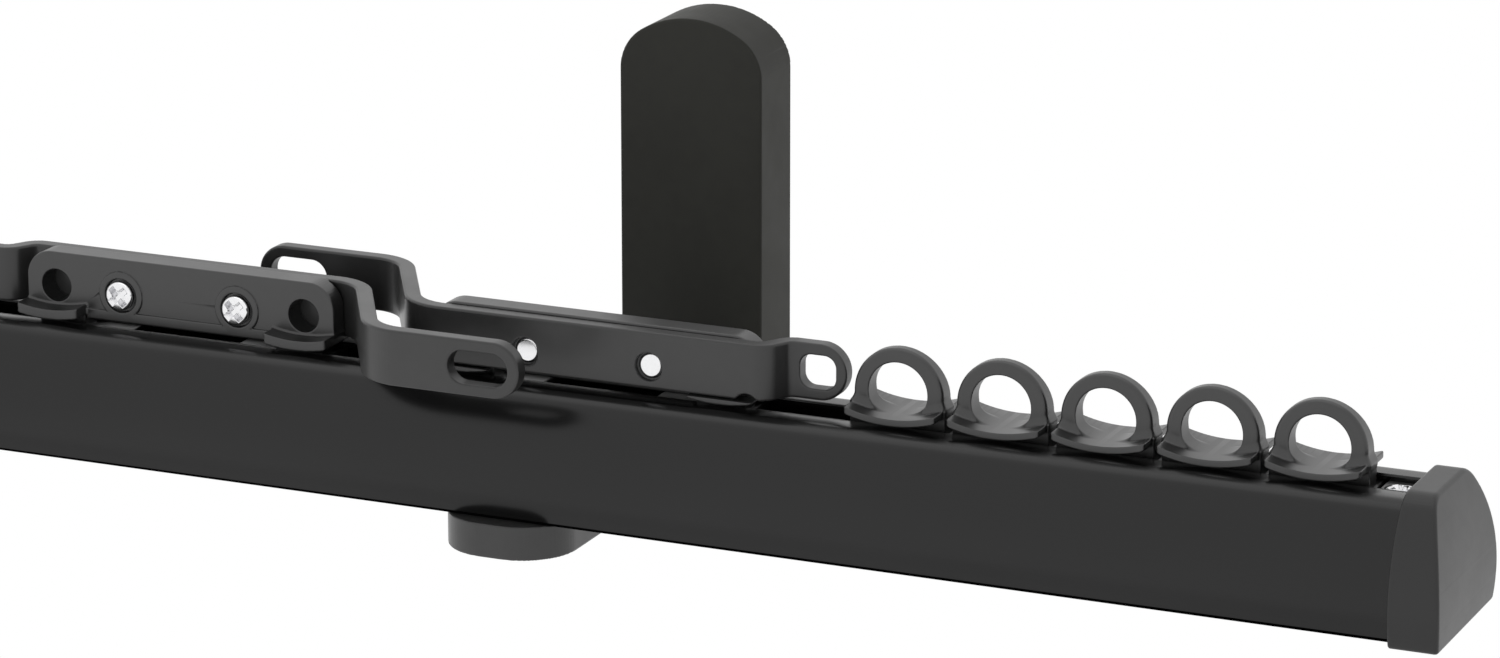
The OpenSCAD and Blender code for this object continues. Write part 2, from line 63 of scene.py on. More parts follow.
# How far a shape is drawn past a face where its own end must not show, in millimetres
PAST = 1.0

Grid = np.ndarray
Pair = tuple[float, float]
Triple = tuple[float, float, float]
Field = Callable[[Grid, Grid, Grid], Grid]
Socket = bpy.types.NodeSocket


# Solids as signed distances


class Axis(Enum):
    """A direction of the frame, as its place in a point."""

    X = 0
    Y = 1
    Z = 2


def plus(c: Grid) -> Grid:
    """The numbers that are above 0, and 0 for the others."""
    return np.maximum(c, 0)


@dataclass(frozen=True)
class Solid:
    """A solid as its signed distance in millimetres, negative inside."""

    at: Field

    def __or__(self, other: "Solid") -> "Solid":
        """Both solids."""
        return Solid(lambda *p: np.minimum(self.at(*p), other.at(*p)))

    def __and__(self, other: "Solid") -> "Solid":
        """What the two solids share."""
        return Solid(lambda *p: np.maximum(self.at(*p), other.at(*p)))

    def __invert__(self) -> "Solid":
        """Everything outside the solid."""
        return Solid(lambda *p: -self.at(*p))

    def __sub__(self, other: "Solid") -> "Solid":
        """This solid without the other, with sharp edges."""
        return self & ~other

    def fillet(self, other: "Solid", r: float) -> "Solid":
        """Both solids, with a fillet where they meet.

        Args:
            other: The other solid.
            r: Radius of the fillet.

        Returns:
            The joined solid.
        """

        def at(*p: Grid) -> Grid:
            """Distance at points p."""
            a, b = self.at(*p), other.at(*p)
            return np.maximum(r, np.minimum(a, b)) - np.hypot(plus(r - a), plus(r - b))

        return Solid(at)

    def meet(self, other: "Solid", r: float) -> "Solid":
        """What the two solids share, with its edge rounded.

        Args:
            other: The other solid.
            r: Radius of the edge.

        Returns:
            The shared solid.
        """

        def at(*p: Grid) -> Grid:
            """Distance at points p."""
            a, b = self.at(*p), other.at(*p)
            return np.minimum(-r, np.maximum(a, b)) + np.hypot(plus(a + r), plus(b + r))

        return Solid(at)

    def cut(self, other: "Solid", r: float) -> "Solid":
        """This solid without the other, with the cut's edge rounded to radius r."""
        return self.meet(~other, r)

    def doubled(self, x: float) -> "Solid":
        """Two copies, x to either side, the left one mirrored."""
        return Solid(lambda u, v, w: self.at(np.abs(u) - x, v, w))


def layer(axis: Axis, low: float, high: float) -> Solid:
    """An endless layer between two levels of an axis."""
    mid, half = (low + high) / 2, (high - low) / 2
    return Solid(lambda *p: np.abs(p[axis.value] - mid) - half)


def block(x: Pair, y: Pair, z: Pair, r: float = 0.0) -> Solid:
    """A box with rounded edges.

    Args:
        x: Its levels along x.
        y: Its levels along y.
        z: Its levels along z.
        r: Radius of all its edges.

    Returns:
        The box.
    """
    spans = (x, y, z)

    def at(*p: Grid) -> Grid:
        """Distance at points, as the part outside the faces and the part inside.

        Args:
            p: Coordinates of the points.

        Returns:
            The distances.
        """
        q = [np.abs(p[i] - sum(s) / 2) - (s[1] - s[0]) / 2 + r for i, s in enumerate(spans)]
        outside = np.sqrt(sum(plus(c) ** 2 for c in q))
        return outside + np.minimum(np.maximum(np.maximum(q[0], q[1]), q[2]), 0) - r

    return Solid(at)


def rod(axis: Axis, r: float, centre: Pair = (0, 0)) -> Solid:
    """An endless round rod along an axis, its centre on the other two axes."""
    i, j = (k for k in range(3) if k != axis.value)
    return Solid(lambda *p: np.hypot(p[i] - centre[0], p[j] - centre[1]) - r)


def slot(length: float, width: float, x: float, z: float, r: float) -> Solid:
    """An endless slot along y.

    Args:
        length: Its length along x.
        width: Its width along z.
        x: Its middle along x.
        z: Its middle along z.
        r: Radius of its corners.

    Returns:
        The slot.
    """
    reach, rise = length / 2 - r, width / 2 - r

    def at(*p: Grid) -> Grid:
        """Distance at points p."""
        across, up = np.abs(p[0] - x) - reach, np.abs(p[2] - z) - rise
        return np.hypot(plus(across), plus(up)) - r

    return Solid(at)


def to_line(u: Grid, v: Grid, points: Sequence[Pair], closed: bool) -> tuple[Grid, Grid]:
    """Distance of points to a line of many parts, and whether they lie inside it.

    Args:
        u: First coordinate of the points.
        v: Second coordinate of the points.
        points: The line's own points.
        closed: Whether its last point joins its first.

    Returns:
        The distances, and for a closed line which points are inside.
    """
    u, v = np.broadcast_arrays(u, v)
    best = np.full(u.shape, np.inf, np.float32)
    inside = np.zeros(u.shape, bool)
    ends = list(points[1:]) + ([points[0]] if closed else [])
    for (a, b), (c, d) in zip(points, ends):
        along, up = c - a, d - b
        share = np.clip(((u - a) * along + (v - b) * up) / (along**2 + up**2), 0, 1)
        best = np.minimum(best, (u - a - share * along) ** 2 + (v - b - share * up) ** 2)
        if b != d:
            crossed = ((b > v) != (d > v)) & (u < a + (v - b) * along / up)
            inside ^= crossed
    return np.sqrt(best), inside


def prism(axis: Axis, points: Sequence[Pair]) -> Solid:
    """An endless prism.

    Args:
        axis: The axis that it runs along.
        points: Its closed outline on the other two axes.

    Returns:
        The prism.
    """
    i, j = (k for k in range(3) if k != axis.value)

    def at(*p: Grid) -> Grid:
        """Distance at points p."""
        far, inside = to_line(p[i], p[j], points, True)
        return np.where(inside, -far, far)

    return Solid(at)


def bent_strip(path: Sequence[Pair], thickness: float) -> Solid:
    """An upright strip of even thickness along a path in plan."""
    return Solid(lambda *p: to_line(p[0], p[1], path, False)[0] - thickness / 2)


# Meshes from solids


@dataclass(frozen=True)
class Mesher:
    """Turns a solid into a mesh with one vertex in each cell that its surface crosses.

    Attributes:
        step: Size of a cell, in millimetres.
        flat: Largest angle between faces that are joined into one, in degrees.
        settle: How often the vertices are moved onto the surface.
        probe: How many times a cell is larger than the step that measures a slope.
        stride: How many times a cell is larger than a vertex's largest move.
        before: Cells in front of the lowest corner, off any round number.
        after: Cells past the highest corner.
        least: Least squared slope that a move is divided by.
        quad: Most corners of a face that stays whole.
    """

    step: float
    flat: float = 0.3
    settle: int = 3
    probe: int = 5
    stride: int = 3
    before: float = 1.37
    after: int = 2
    least: float = 0.2
    quad: int = 4

    def gradient(self, solid: Solid, p: Grid) -> Grid:
        """Direction in which the distance grows.

        Args:
            solid: The solid.
            p: The points, one in each row.

        Returns:
            The slopes, one in each row.
        """
        h = self.step / self.probe
        columns = []
        for i in range(3):
            nudge = np.zeros(3)
            nudge[i] = h
            ahead, behind = (p + nudge).T, (p - nudge).T
            columns.append((solid.at(*ahead) - solid.at(*behind)) / (2 * h))
        return np.stack(columns, 1)

    def cells(self, distance: Grid) -> tuple[Grid, Grid]:
        """Vertices and faces of the surface inside a grid of distances.

        Args:
            distance: The signed distance at each grid point.

        Returns:
            Vertices in cells from the grid's corner, and faces of four vertices.
        """
        solid = distance < 0
        shape = tuple(n - 1 for n in distance.shape)
        place = np.zeros((*shape, 3), np.float32)
        count = np.zeros(shape, np.float32)
        crossings = []
        for a in range(3):
            b, c = (a + 1) % 3, (a + 2) % 3
            near, far = np.moveaxis(distance, a, 0)[:-1], np.moveaxis(distance, a, 0)[1:]
            one, two = np.moveaxis(solid, a, 0)[:-1], np.moveaxis(solid, a, 0)[1:]
            cross = np.moveaxis(one != two, 0, a)
            gap = np.where(one != two, near - far, 1)
            share = np.moveaxis(np.where(one != two, near / gap, 0), 0, a)
            crossings.append((cross, np.moveaxis(one, 0, a)))
            for ob in (0, 1):
                for oc in (0, 1):
                    part = [slice(None)] * 3
                    part[b] = slice(ob, ob + shape[b])
                    part[c] = slice(oc, oc + shape[c])
                    hit = cross[tuple(part)]
                    count += hit
                    place[..., a] += share[tuple(part)] * hit
                    place[..., b] += ob * hit
                    place[..., c] += oc * hit
        active = np.argwhere(count > 0)
        held = tuple(active.T)
        number = np.full(shape, -1, np.int64)
        number[held] = np.arange(len(active))
        vertices = active + place[held] / count[held][:, None]
        faces = []
        for a, (cross, low_inside) in enumerate(crossings):
            b, c = (a + 1) % 3, (a + 2) % 3
            at = np.argwhere(cross)
            kept = (at[:, b] > 0) & (at[:, c] > 0) & (at[:, b] < shape[b]) & (at[:, c] < shape[c])
            at = at[kept]
            corners = []
            for ob, oc in ((1, 1), (0, 1), (0, 0), (1, 0)):
                cell = at.copy()
                cell[:, b] -= ob
                cell[:, c] -= oc
                corners.append(number[tuple(cell.T)])
            quads = np.stack(corners, 1)
            turned = ~low_inside[tuple(at.T)]
            quads[turned] = quads[turned, ::-1]
            faces.append(quads)
        return vertices, np.concatenate(faces)

    def mesh(
        self, name: str, solid: Solid, low: Sequence[float], high: Sequence[float]
    ) -> bpy.types.Mesh:
        """Makes the mesh of a solid that lies between two corners.

        Args:
            name: Name of the mesh.
            solid: The solid, in millimetres.
            low: Lowest corner of the space that holds it.
            high: Highest corner of that space.

        Returns:
            The mesh, in millimetres, smooth and with the solid's own normals.
        """
        lines = [
            np.arange(lo - self.before * self.step, hi + self.after * self.step, self.step)
            for lo, hi in zip(low, high)
        ]
        x, y, z = lines[0][:, None, None], lines[1][None, :, None], lines[2][None, None, :]
        shape = tuple(len(line) for line in lines)
        distance = np.broadcast_to(solid.at(x, y, z), shape).astype(np.float32)
        vertices, faces = self.cells(distance)
        points = vertices * self.step + np.array([line[0] for line in lines])
        for _ in range(self.settle):
            slope = self.gradient(solid, points)
            size = np.maximum((slope**2).sum(1), self.least)
            move = solid.at(*points.T)[:, None] * slope / size[:, None]
            points = points - np.clip(move, -self.step / self.stride, self.step / self.stride)
        mesh = bpy.data.meshes.new(name)
        mesh.from_pydata(points.tolist(), [], faces.tolist())
        shaped = bmesh.new()
        shaped.from_mesh(mesh)
        if self.flat > 0:
            bmesh.ops.dissolve_limit(
                shaped,
                angle_limit=math.radians(self.flat),
                verts=shaped.verts,
                edges=shaped.edges,
            )
            many = [face for face in shaped.faces if len(face.verts) > self.quad]
            bmesh.ops.triangulate(shaped, faces=many)
        shaped.to_mesh(mesh)
        shaped.free()
        mesh.shade_smooth()
        kept = np.array([v.co for v in mesh.vertices], float)
        slope = self.gradient(solid, kept)
        slope /= np.maximum(np.linalg.norm(slope, axis=1, keepdims=True), TINY)
        mesh.normals_split_custom_set_from_vertices(slope.tolist())
        return mesh


def link(name: str, data: bpy.types.ID) -> bpy.types.Object:
    """Puts new data into the scene.

    Args:
        name: Name of the new object.
        data: Its mesh, lamp or camera.

    Returns:
        The object.
    """
    made = bpy.data.objects.new(name, data)
    bpy.context.scene.collection.objects.link(made)
    return made


def place(
    mesh: bpy.types.Mesh, name: str, shift: Sequence[float], turned: bool = False
) -> bpy.types.Object:
    """Puts a copy of a mesh in millimetres into the scene, in metres.

    Args:
        mesh: The mesh to copy.
        name: Name of the new object.
        shift: Where its origin goes, in millimetres.
        turned: Whether it is turned by half a turn about z first.

    Returns:
        The object, at the origin, with its place in its mesh.
    """
    copy = mesh.copy()
    copy.name = name
    turn = Matrix.Rotation(math.pi, 4, "Z") if turned else Matrix.Identity(4)
    copy.transform(Matrix.Scale(MM, 4) @ Matrix.Translation(Vector(shift)) @ turn)
    return link(name, copy)


# Shader maths


@dataclass(frozen=True)
class Value:
    """A socket of a node tree that Python's operators work on."""

    tree: bpy.types.NodeTree
    socket: Socket

    def maths(self, operation: str, *others: "Value | float", first: bool = True) -> "Value":
        """Adds one Math node.

        Args:
            operation: The node's operation.
            others: The other values.
            first: Whether this value comes before them.

        Returns:
            The node's result.
        """
        made = self.tree.nodes.new("ShaderNodeMath")
        made.operation = operation
        values = (self, *others) if first else (*others, self)
        for entry, value in zip(made.inputs, values):
            if isinstance(value, Value):
                self.tree.links.new(value.socket, entry)
            else:
                entry.default_value = value
        return Value(self.tree, made.outputs[0])

    def __add__(self, other: "Value | float") -> "Value":
        """Sum of two values."""
        return self.maths("ADD", other)

    def __rsub__(self, other: float) -> "Value":
        """A number less this value."""
        return self.maths("SUBTRACT", other, first=False)

    def __mul__(self, other: "Value | float") -> "Value":
        """Product of two values."""
        return self.maths("MULTIPLY", other)

    __radd__ = __add__
    __rmul__ = __mul__

    def top(self, other: "Value | float") -> "Value":
        """The larger of two values."""
        return self.maths("MAXIMUM", other)

    def fall(self, low: float, high: float) -> "Value":
        """Falls smoothly from 1 to 0 as this value goes from low to high."""
        return 1.0 - self.step(low, high)

    def step(self, low: float, high: float) -> "Value":
        """Rises smoothly from 0 to 1 with this value.

        Args:
            low: Where it leaves 0.
            high: Where it reaches 1.

        Returns:
            The node's result.
        """
        made = self.tree.nodes.new("ShaderNodeMapRange")
        made.interpolation_type = "SMOOTHSTEP"
        self.tree.links.new(self.socket, made.inputs["Value"])
        made.inputs["From Min"].default_value = low
        made.inputs["From Max"].default_value = high
        return Value(self.tree, made.outputs["Result"])


@dataclass(frozen=True)
class Nodes:
    """A node tree that is filled through one method."""

    tree: bpy.types.NodeTree

    def add(
        self,
        kind: str,
        settings: dict[str, object] | None = None,
        sockets: dict[str | int, object] | None = None,
    ) -> bpy.types.Node:
        """Adds a node.

        Args:
            kind: The node's type.
            settings: Its settings, set first. "stops" are the places and colours of a ramp.
            sockets: Values or links of its inputs, by name or number.

        Returns:
            The node.
        """
        made = self.tree.nodes.new(kind)
        for name, value in (settings or {}).items():
            if name == "stops":
                for stop, (at, colour) in zip(made.color_ramp.elements, value):
                    stop.position = at
                    stop.color = colour
            else:
                setattr(made, name, value)
        for name, value in (sockets or {}).items():
            if isinstance(value, Value):
                self.tree.links.new(value.socket, made.inputs[name])
            elif isinstance(value, Socket):
                self.tree.links.new(value, made.inputs[name])
            else:
                made.inputs[name].default_value = value
        return made

    def value(self, socket: Socket) -> Value:
        """A socket that operators work on."""
        return Value(self.tree, socket)


def fresh_nodes(owner: bpy.types.Material | bpy.types.World) -> Nodes:
    """Empties the node tree of a material or world.

    Args:
        owner: The material or world.

    Returns:
        Its empty tree.
    """
    owner.use_nodes = True
    owner.node_tree.nodes.clear()
    return Nodes(owner.node_tree)


def opaque(colour: Triple) -> tuple[float, float, float, float]:
    """A colour with full alpha."""
    return (*colour, 1.0)


def grey(level: float) -> Triple:
    """A colour without a tint."""
    return (level, level, level)


@dataclass(frozen=True)
class Finish:
    """A surface finish: its tone, gloss and fine relief.

    Attributes:
        name: Name of the finish.
        slot: The record's material slot; not used.
        dark: Colour of its darker patches.
        light: Colour of its lighter patches.
        gloss: Roughness of its smoothest and its roughest patches.
        level: Specular level, where 0.5 is a common plastic.
        metal: 1 for bare metal, 0 for paint and plastic.
        patch: Size of the patches, in millimetres.
        grain: Size of the relief's grain, in millimetres.
        relief: Height of that grain, in millimetres.
        stretch: How much longer the grain is along the track than across it.
        speck: How many times a speck is larger than the grain.
        detail: Detail of the patches, the grain and the specks.
        share: Shares of the patches and the specks in the tone.
        tone_span: Where the tone leaves dark and reaches light.
        gloss_span: Where the roughness leaves its least and reaches its most.
        speck_height: Height of the specks, with the grain's as 1.
    """

    name: str
    slot: str
    dark: Triple
    light: Triple
    gloss: Pair
    level: float = 0.5
    metal: float = 0.0
    patch: float = 22.0
    grain: float = 0.45
    relief: float = 0.006
    stretch: float = 1.0
    speck: float = 6
    detail: Triple = (3.0, 2.0, 1.0)
    share: Pair = (0.7, 0.3)
    tone_span: Pair = (0.3, 0.7)
    gloss_span: Pair = (0.25, 0.75)
    speck_height: float = 0.5

    def build(self) -> bpy.types.Material:
        """Makes the node material of the finish.

        Returns:
            The material.
        """
        made = bpy.data.materials.new(self.name)
        nodes = fresh_nodes(made)
        where = nodes.add("ShaderNodeTexCoord").outputs["Object"]
        along = nodes.add(
            "ShaderNodeMapping", {}, {"Vector": where, "Scale": (1 / self.stretch, 1.0, 1.0)}
        ).outputs[0]
        patches = self.noise(nodes, where, self.patch, self.detail[0])
        fine = self.noise(nodes, along, self.grain, self.detail[1])
        specks = self.noise(nodes, along, self.grain * self.speck, self.detail[2])
        mixed = patches * self.share[0] + specks * self.share[1]
        # The colour inputs of a Mix node share their names with its other inputs
        colours = {6: opaque(self.dark), 7: opaque(self.light)}
        tone = nodes.add(
            "ShaderNodeMix",
            {"data_type": "RGBA"},
            {"Factor": mixed.step(*self.tone_span), **colours},
        ).outputs[2]
        least, most = self.gloss
        rough = mixed.step(*self.gloss_span) * (most - least) + least
        height = fine + specks * self.speck_height
        bump = nodes.add(
            "ShaderNodeBump", {}, {"Height": height, "Distance": self.relief * MM, "Strength": 1.0}
        ).outputs[0]
        surface = nodes.add(
            "ShaderNodeBsdfPrincipled",
            {},
            {
                "Base Color": tone,
                "Roughness": rough,
                "Metallic": self.metal,
                "Specular IOR Level": self.level,
                "Normal": bump,
            },
        )
        nodes.add("ShaderNodeOutputMaterial", {}, {"Surface": surface.outputs[0]})
        return made

    def noise(self, nodes: Nodes, where: Socket, size: float, detail: float) -> Value:
        """A noise pattern with features of a size in millimetres."""
        sockets = {"Vector": where, "Scale": 1 / (size * MM), "Detail": detail}
        return nodes.value(nodes.add("ShaderNodeTexNoise", {}, sockets).outputs[0])


TRACK_PAINT = Finish(
    "track_paint", "track_black", grey(0.0040), grey(0.0060), (0.22, 0.27),
    level=0.42, patch=60, grain=0.9, relief=0.0015, stretch=6,
)
ARM_PAINT = Finish(
    "arm_paint", "satin_black", grey(0.038), grey(0.046), (0.30, 0.38), level=0.6, relief=0.004,
)
CAP_PLASTIC = Finish("cap_plastic", "cap_black", grey(0.014), grey(0.018), (0.34, 0.40))
MOULDED_PLASTIC = Finish(
    "moulded_plastic", "moulded_black", grey(0.027), grey(0.034), (0.30, 0.37),
    level=0.79, relief=0.003,
)
COVER_PLASTIC = Finish(
    "cover_plastic", "cover_black", (0.0325, 0.0325, 0.0275), (0.0400, 0.0400, 0.0340),
    (0.52, 0.62), level=0.28, grain=0.5,
)
BRIGHT_PLATING = Finish(
    "bright_plating", "bright_screw", (0.84, 0.84, 0.85), (0.90, 0.90, 0.91), (0.10, 0.18),
    metal=1.0, patch=2.5, grain=0.12, relief=0.0003,
)
ZINC_PLATING = Finish(
    "zinc_plating", "zinc_steel", (0.58, 0.59, 0.61), (0.74, 0.75, 0.76), (0.28, 0.42),
    metal=1.0, patch=5, grain=0.3, relief=0.002, stretch=3,
)


@dataclass
class Dresser:
    """Gives pieces their finish and body, hides the CAD nodes that they stand for, and keeps each
    finish once.
    """

    made: dict[str, bpy.types.Material] = field(default_factory=dict)

    def material(self, finish: Finish) -> bpy.types.Material:
        """The material of a finish, made at its first use.

        Args:
            finish: The finish.

        Returns:
            Its material.
        """
        if finish.name not in self.made:
            self.made[finish.name] = finish.build()
        return self.made[finish.name]

    def coat(self, piece: bpy.types.Object, finish: Finish) -> None:
        """Puts a finish on a piece as its only material."""
        piece.data.materials.clear()
        piece.data.materials.append(self.material(finish))

    def piece(self, made: bpy.types.Object, finish: Finish, body: str, *nodes: str) -> None:
        """Finishes a new piece that stands for CAD nodes.

        Args:
            made: The piece.
            finish: Its finish.
            body: The body that it moves with.
            nodes: The CAD nodes that it replaces.
        """
        self.coat(made, finish)
        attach(made, body)
        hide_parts(*nodes)
        LOG.info("%s: %d faces", made.name, len(made.data.polygons))

    def keep(self, node: bpy.types.Object, finish: Finish) -> None:
        """Finishes a CAD node that stays.

        Args:
            node: The node.
            finish: Its finish.
        """
        self.coat(node, finish)
        LOG.info("%s: CAD node kept", node.name)


# Outlines


def arc(centre: Pair, r: float, start: float, end: float, steps: int) -> list[Pair]:
    """Points of an arc, its angles in radians."""
    angles = np.linspace(start, end, steps + 1)
    return [(centre[0] + r * math.cos(t), centre[1] + r * math.sin(t)) for t in angles]


def mirrored(points: Sequence[Pair]) -> list[Pair]:
    """The points mirrored in the middle, in reverse order."""
    return [(-y, z) for y, z in reversed(points)]


@dataclass(frozen=True)
class Section:
    """Cross-section of the track: a flat-topped barrel with bulged sides."""

    height: float = 23.7
    bulge_r: float = 24.85
    bulge_z: float = 6.5
    bulge_shift: float = 8.15
    bottom_r: float = 0.7
    top_r: float = 5.2
    shell: float = 1.3
    slot_w: float = 8.7
    lip: float = 1.0
    channel_w: float = 15.0
    channel_h: float = 8.5
    mouth_w: float = 8.0
    groove_w: float = 14.0
    groove_h: float = 3.2
    groove_lip: float = 1.5
    web: float = 1.2
    inner_r: float = 0.3
    lip_r: float = 0.3
    side_steps: int = 28
    corner_steps: int = 9
    lip_steps: int = 4

    @property
    def lip_z(self) -> float:
        """Level of the underside of the lips."""
        return self.height - self.lip

    @property
    def channel_z(self) -> float:
        """Level of the channel's floor."""
        return self.lip_z - self.channel_h

    def half(self, grow: float, top: float, low_r: float, high_r: float) -> list[Pair]:
        """Right half of the outline, from bottom to top.

        Args:
            grow: How far it is pushed outwards.
            top: Level of its top.
            low_r: Radius of the bottom corner.
            high_r: Radius of the top corner.

        Returns:
            Points (y, z).
        """
        big = self.bulge_r + grow
        ends = []
        for level, r, way in ((-grow, low_r, -1), (top, high_r, 1)):
            rise = level - way * r - self.bulge_z
            y = math.sqrt((big - r) ** 2 - rise**2) - self.bulge_shift
            ends.append((y, math.atan2(rise, y + self.bulge_shift)))
        (low_y, low_a), (high_y, high_a) = ends
        side = arc((-self.bulge_shift, self.bulge_z), big, low_a, high_a, self.side_steps)
        return (
            arc((low_y, low_r - grow), low_r, -QUARTER, low_a, self.corner_steps)
            + side[1:-1]
            + arc((high_y, top - high_r), high_r, high_a, QUARTER, self.corner_steps)
        )

    def outline(self, grow: float, top: float, low_r: float, high_r: float) -> list[Pair]:
        """The whole closed outline, with the arguments of half."""
        right = self.half(grow, top, low_r, high_r)
        return right + mirrored(right)

    def skin(self) -> list[Pair]:
        """The track's outer loop: outside, slot and channel, and the groove below.

        Returns:
            Points (y, z).
        """
        mouth, slot_y, r = self.mouth_w / 2, self.slot_w / 2, self.lip_r
        wide, deep, low = self.channel_w / 2, self.groove_w / 2, self.groove_lip
        right = (
            [(deep, low + self.groove_h), (deep, low), (mouth, low)]
            + arc((mouth + r, r), r, 2 * QUARTER, 3 * QUARTER, self.lip_steps)
            + self.half(0, self.height, self.bottom_r, self.top_r)
            + arc((slot_y + r, self.height - r), r, QUARTER, 2 * QUARTER, self.lip_steps)
            + [(slot_y, self.lip_z), (wide, self.lip_z), (wide, self.channel_z)]
        )
        return right + mirrored(right)

    def hollow(self) -> list[Pair]:
        """Loop of the closed hollow between the shell and the inner walls.

        Returns:
            Points (y, z).
        """
        wide, deep = self.channel_w / 2 + self.web, self.groove_w / 2 + self.web
        floor = self.groove_lip + self.groove_h + self.web
        right = (
            [(deep, floor), (deep, self.shell)]
            + self.half(-self.shell, self.lip_z, self.inner_r, self.inner_r)
            + [(wide, self.lip_z), (wide, self.channel_z - self.web)]
        )
        return right + mirrored(right)


# Trees that repeat and extrude


class Tree(Enum):
    """The two Geometry Nodes trees."""

    EXTRUSION = "run_a_section_along_x"
    SEATS = "set_a_screw_on_each_seat"


@dataclass
class Workshop:
    """Makes pieces with Geometry Nodes trees of named inputs.

    Attributes:
        trees: The trees made so far.
        join: Distance under which corners of an extrusion become one, in metres.
    """

    trees: dict[Tree, bpy.types.NodeTree] = field(default_factory=dict)
    join: float = 1e-6

    def start(
        self, kind: Tree, inputs: dict[str, str]
    ) -> tuple[Nodes, dict[str, Socket], bpy.types.Node]:
        """Starts a tree with a mesh input and the named ones.

        Args:
            kind: Which tree.
            inputs: Socket type of each named input.

        Returns:
            The nodes, the inputs by name and the output node.
        """
        tree = bpy.data.node_groups.new(kind.value, "GeometryNodeTree")
        face = tree.interface
        face.new_socket("Mesh", in_out="INPUT", socket_type="NodeSocketGeometry")
        for name, socket_type in inputs.items():
            face.new_socket(name, in_out="INPUT", socket_type=socket_type)
        face.new_socket("Mesh", in_out="OUTPUT", socket_type="NodeSocketGeometry")
        nodes = Nodes(tree)
        given = nodes.add("NodeGroupInput")
        self.trees[kind] = tree
        return nodes, {s.name: s for s in given.outputs if s.name}, nodes.add("NodeGroupOutput")

    def finish(
        self, nodes: Nodes, shape: Socket, given: dict[str, Socket], out: bpy.types.Node
    ) -> None:
        """Ends a tree in Realize Instances and Set Material.

        Args:
            nodes: The tree's nodes.
            shape: The shape that it makes.
            given: The tree's inputs by name.
            out: Its output node.
        """
        real = nodes.add("GeometryNodeRealizeInstances", {}, {"Geometry": shape}).outputs[0]
        dressed = nodes.add(
            "GeometryNodeSetMaterial", {}, {"Geometry": real, "Material": given["Material"]}
        ).outputs[0]
        nodes.tree.links.new(dressed, out.inputs[0])

    def extrusion(self) -> bpy.types.NodeTree:
        """Tree that runs a flat section along x and closes both ends.

        Returns:
            The tree, made at its first use.
        """
        if Tree.EXTRUSION in self.trees:
            return self.trees[Tree.EXTRUSION]
        nodes, given, out = self.start(
            Tree.EXTRUSION,
            {
                "Start": "NodeSocketFloat",
                "Length": "NodeSocketFloat",
                "Material": "NodeSocketMaterial",
            },
        )
        begin = nodes.add("ShaderNodeCombineXYZ", {}, {"X": given["Start"]}).outputs[0]
        flat = nodes.add(
            "GeometryNodeTransform", {}, {"Geometry": given["Mesh"], "Translation": begin}
        ).outputs[0]
        run = nodes.add(
            "GeometryNodeExtrudeMesh",
            {"mode": "FACES"},
            {
                "Mesh": flat,
                "Offset": (1.0, 0.0, 0.0),
                "Offset Scale": given["Length"],
                "Individual": False,
            },
        ).outputs[0]
        back = nodes.add("GeometryNodeFlipFaces", {}, {"Mesh": flat}).outputs[0]
        both = nodes.add("GeometryNodeJoinGeometry", {}, {0: run})
        nodes.tree.links.new(back, both.inputs[0])
        whole = nodes.add(
            "GeometryNodeMergeByDistance", {}, {"Geometry": both.outputs[0], "Distance": self.join}
        ).outputs[0]
        self.finish(nodes, whole, given, out)
        return nodes.tree

    def seats(self) -> bpy.types.NodeTree:
        """Tree that sets a screw on each vertex of a mesh, each with a twist of its own.

        Returns:
            The tree, made at its first use.
        """
        if Tree.SEATS in self.trees:
            return self.trees[Tree.SEATS]
        nodes, given, out = self.start(
            Tree.SEATS,
            {
                "Screw": "NodeSocketObject",
                "Turn": "NodeSocketVector",
                "Twist From": "NodeSocketFloat",
                "Twist To": "NodeSocketFloat",
                "Seed": "NodeSocketInt",
                "Material": "NodeSocketMaterial",
            },
        )
        screw = nodes.add("GeometryNodeObjectInfo", {}, {"Object": given["Screw"]})
        twist = nodes.add(
            "FunctionNodeRandomValue",
            {"data_type": "FLOAT"},
            {2: given["Twist From"], 3: given["Twist To"], "Seed": given["Seed"]},
        ).outputs[1]
        euler = nodes.add("ShaderNodeCombineXYZ", {}, {"Z": twist}).outputs[0]
        spun = nodes.add("FunctionNodeEulerToRotation", {}, {0: euler}).outputs[0]
        turn = nodes.add("FunctionNodeEulerToRotation", {}, {0: given["Turn"]}).outputs[0]
        both = nodes.add(
            "FunctionNodeRotateRotation",
            {"rotation_space": "LOCAL"},
            {"Rotation": turn, "Rotate By": spun},
        ).outputs[0]
        set_down = nodes.add(
            "GeometryNodeInstanceOnPoints",
            {},
            {"Points": given["Mesh"], "Instance": screw.outputs["Geometry"], "Rotation": both},
        ).outputs[0]
        self.finish(nodes, set_down, given, out)
        return nodes.tree

    def run(
        self, start: bpy.types.Mesh, name: str, tree: bpy.types.NodeTree, values: dict[str, object]
    ) -> bpy.types.Object:
        """Runs a tree on a mesh and keeps the result as a plain mesh.

        Args:
            start: The mesh that the tree starts from.
            name: Name of the piece.
            tree: The tree.
            values: Its inputs by name.

        Returns:
            The piece, without the modifier.
        """
        made = link(name, start)
        modifier = made.modifiers.new(name, "NODES")
        modifier.node_group = tree
        for entry in tree.interface.items_tree:
            if entry.in_out == "INPUT" and entry.name in values:
                modifier[entry.identifier] = values[entry.name]
        graph = bpy.context.evaluated_depsgraph_get()
        graph.update()
        result = bpy.data.meshes.new_from_object(made.evaluated_get(graph), depsgraph=graph)
        made.modifiers.remove(modifier)
        made.data = result
        bpy.data.meshes.remove(start)
        return made


# The object's sub-assemblies


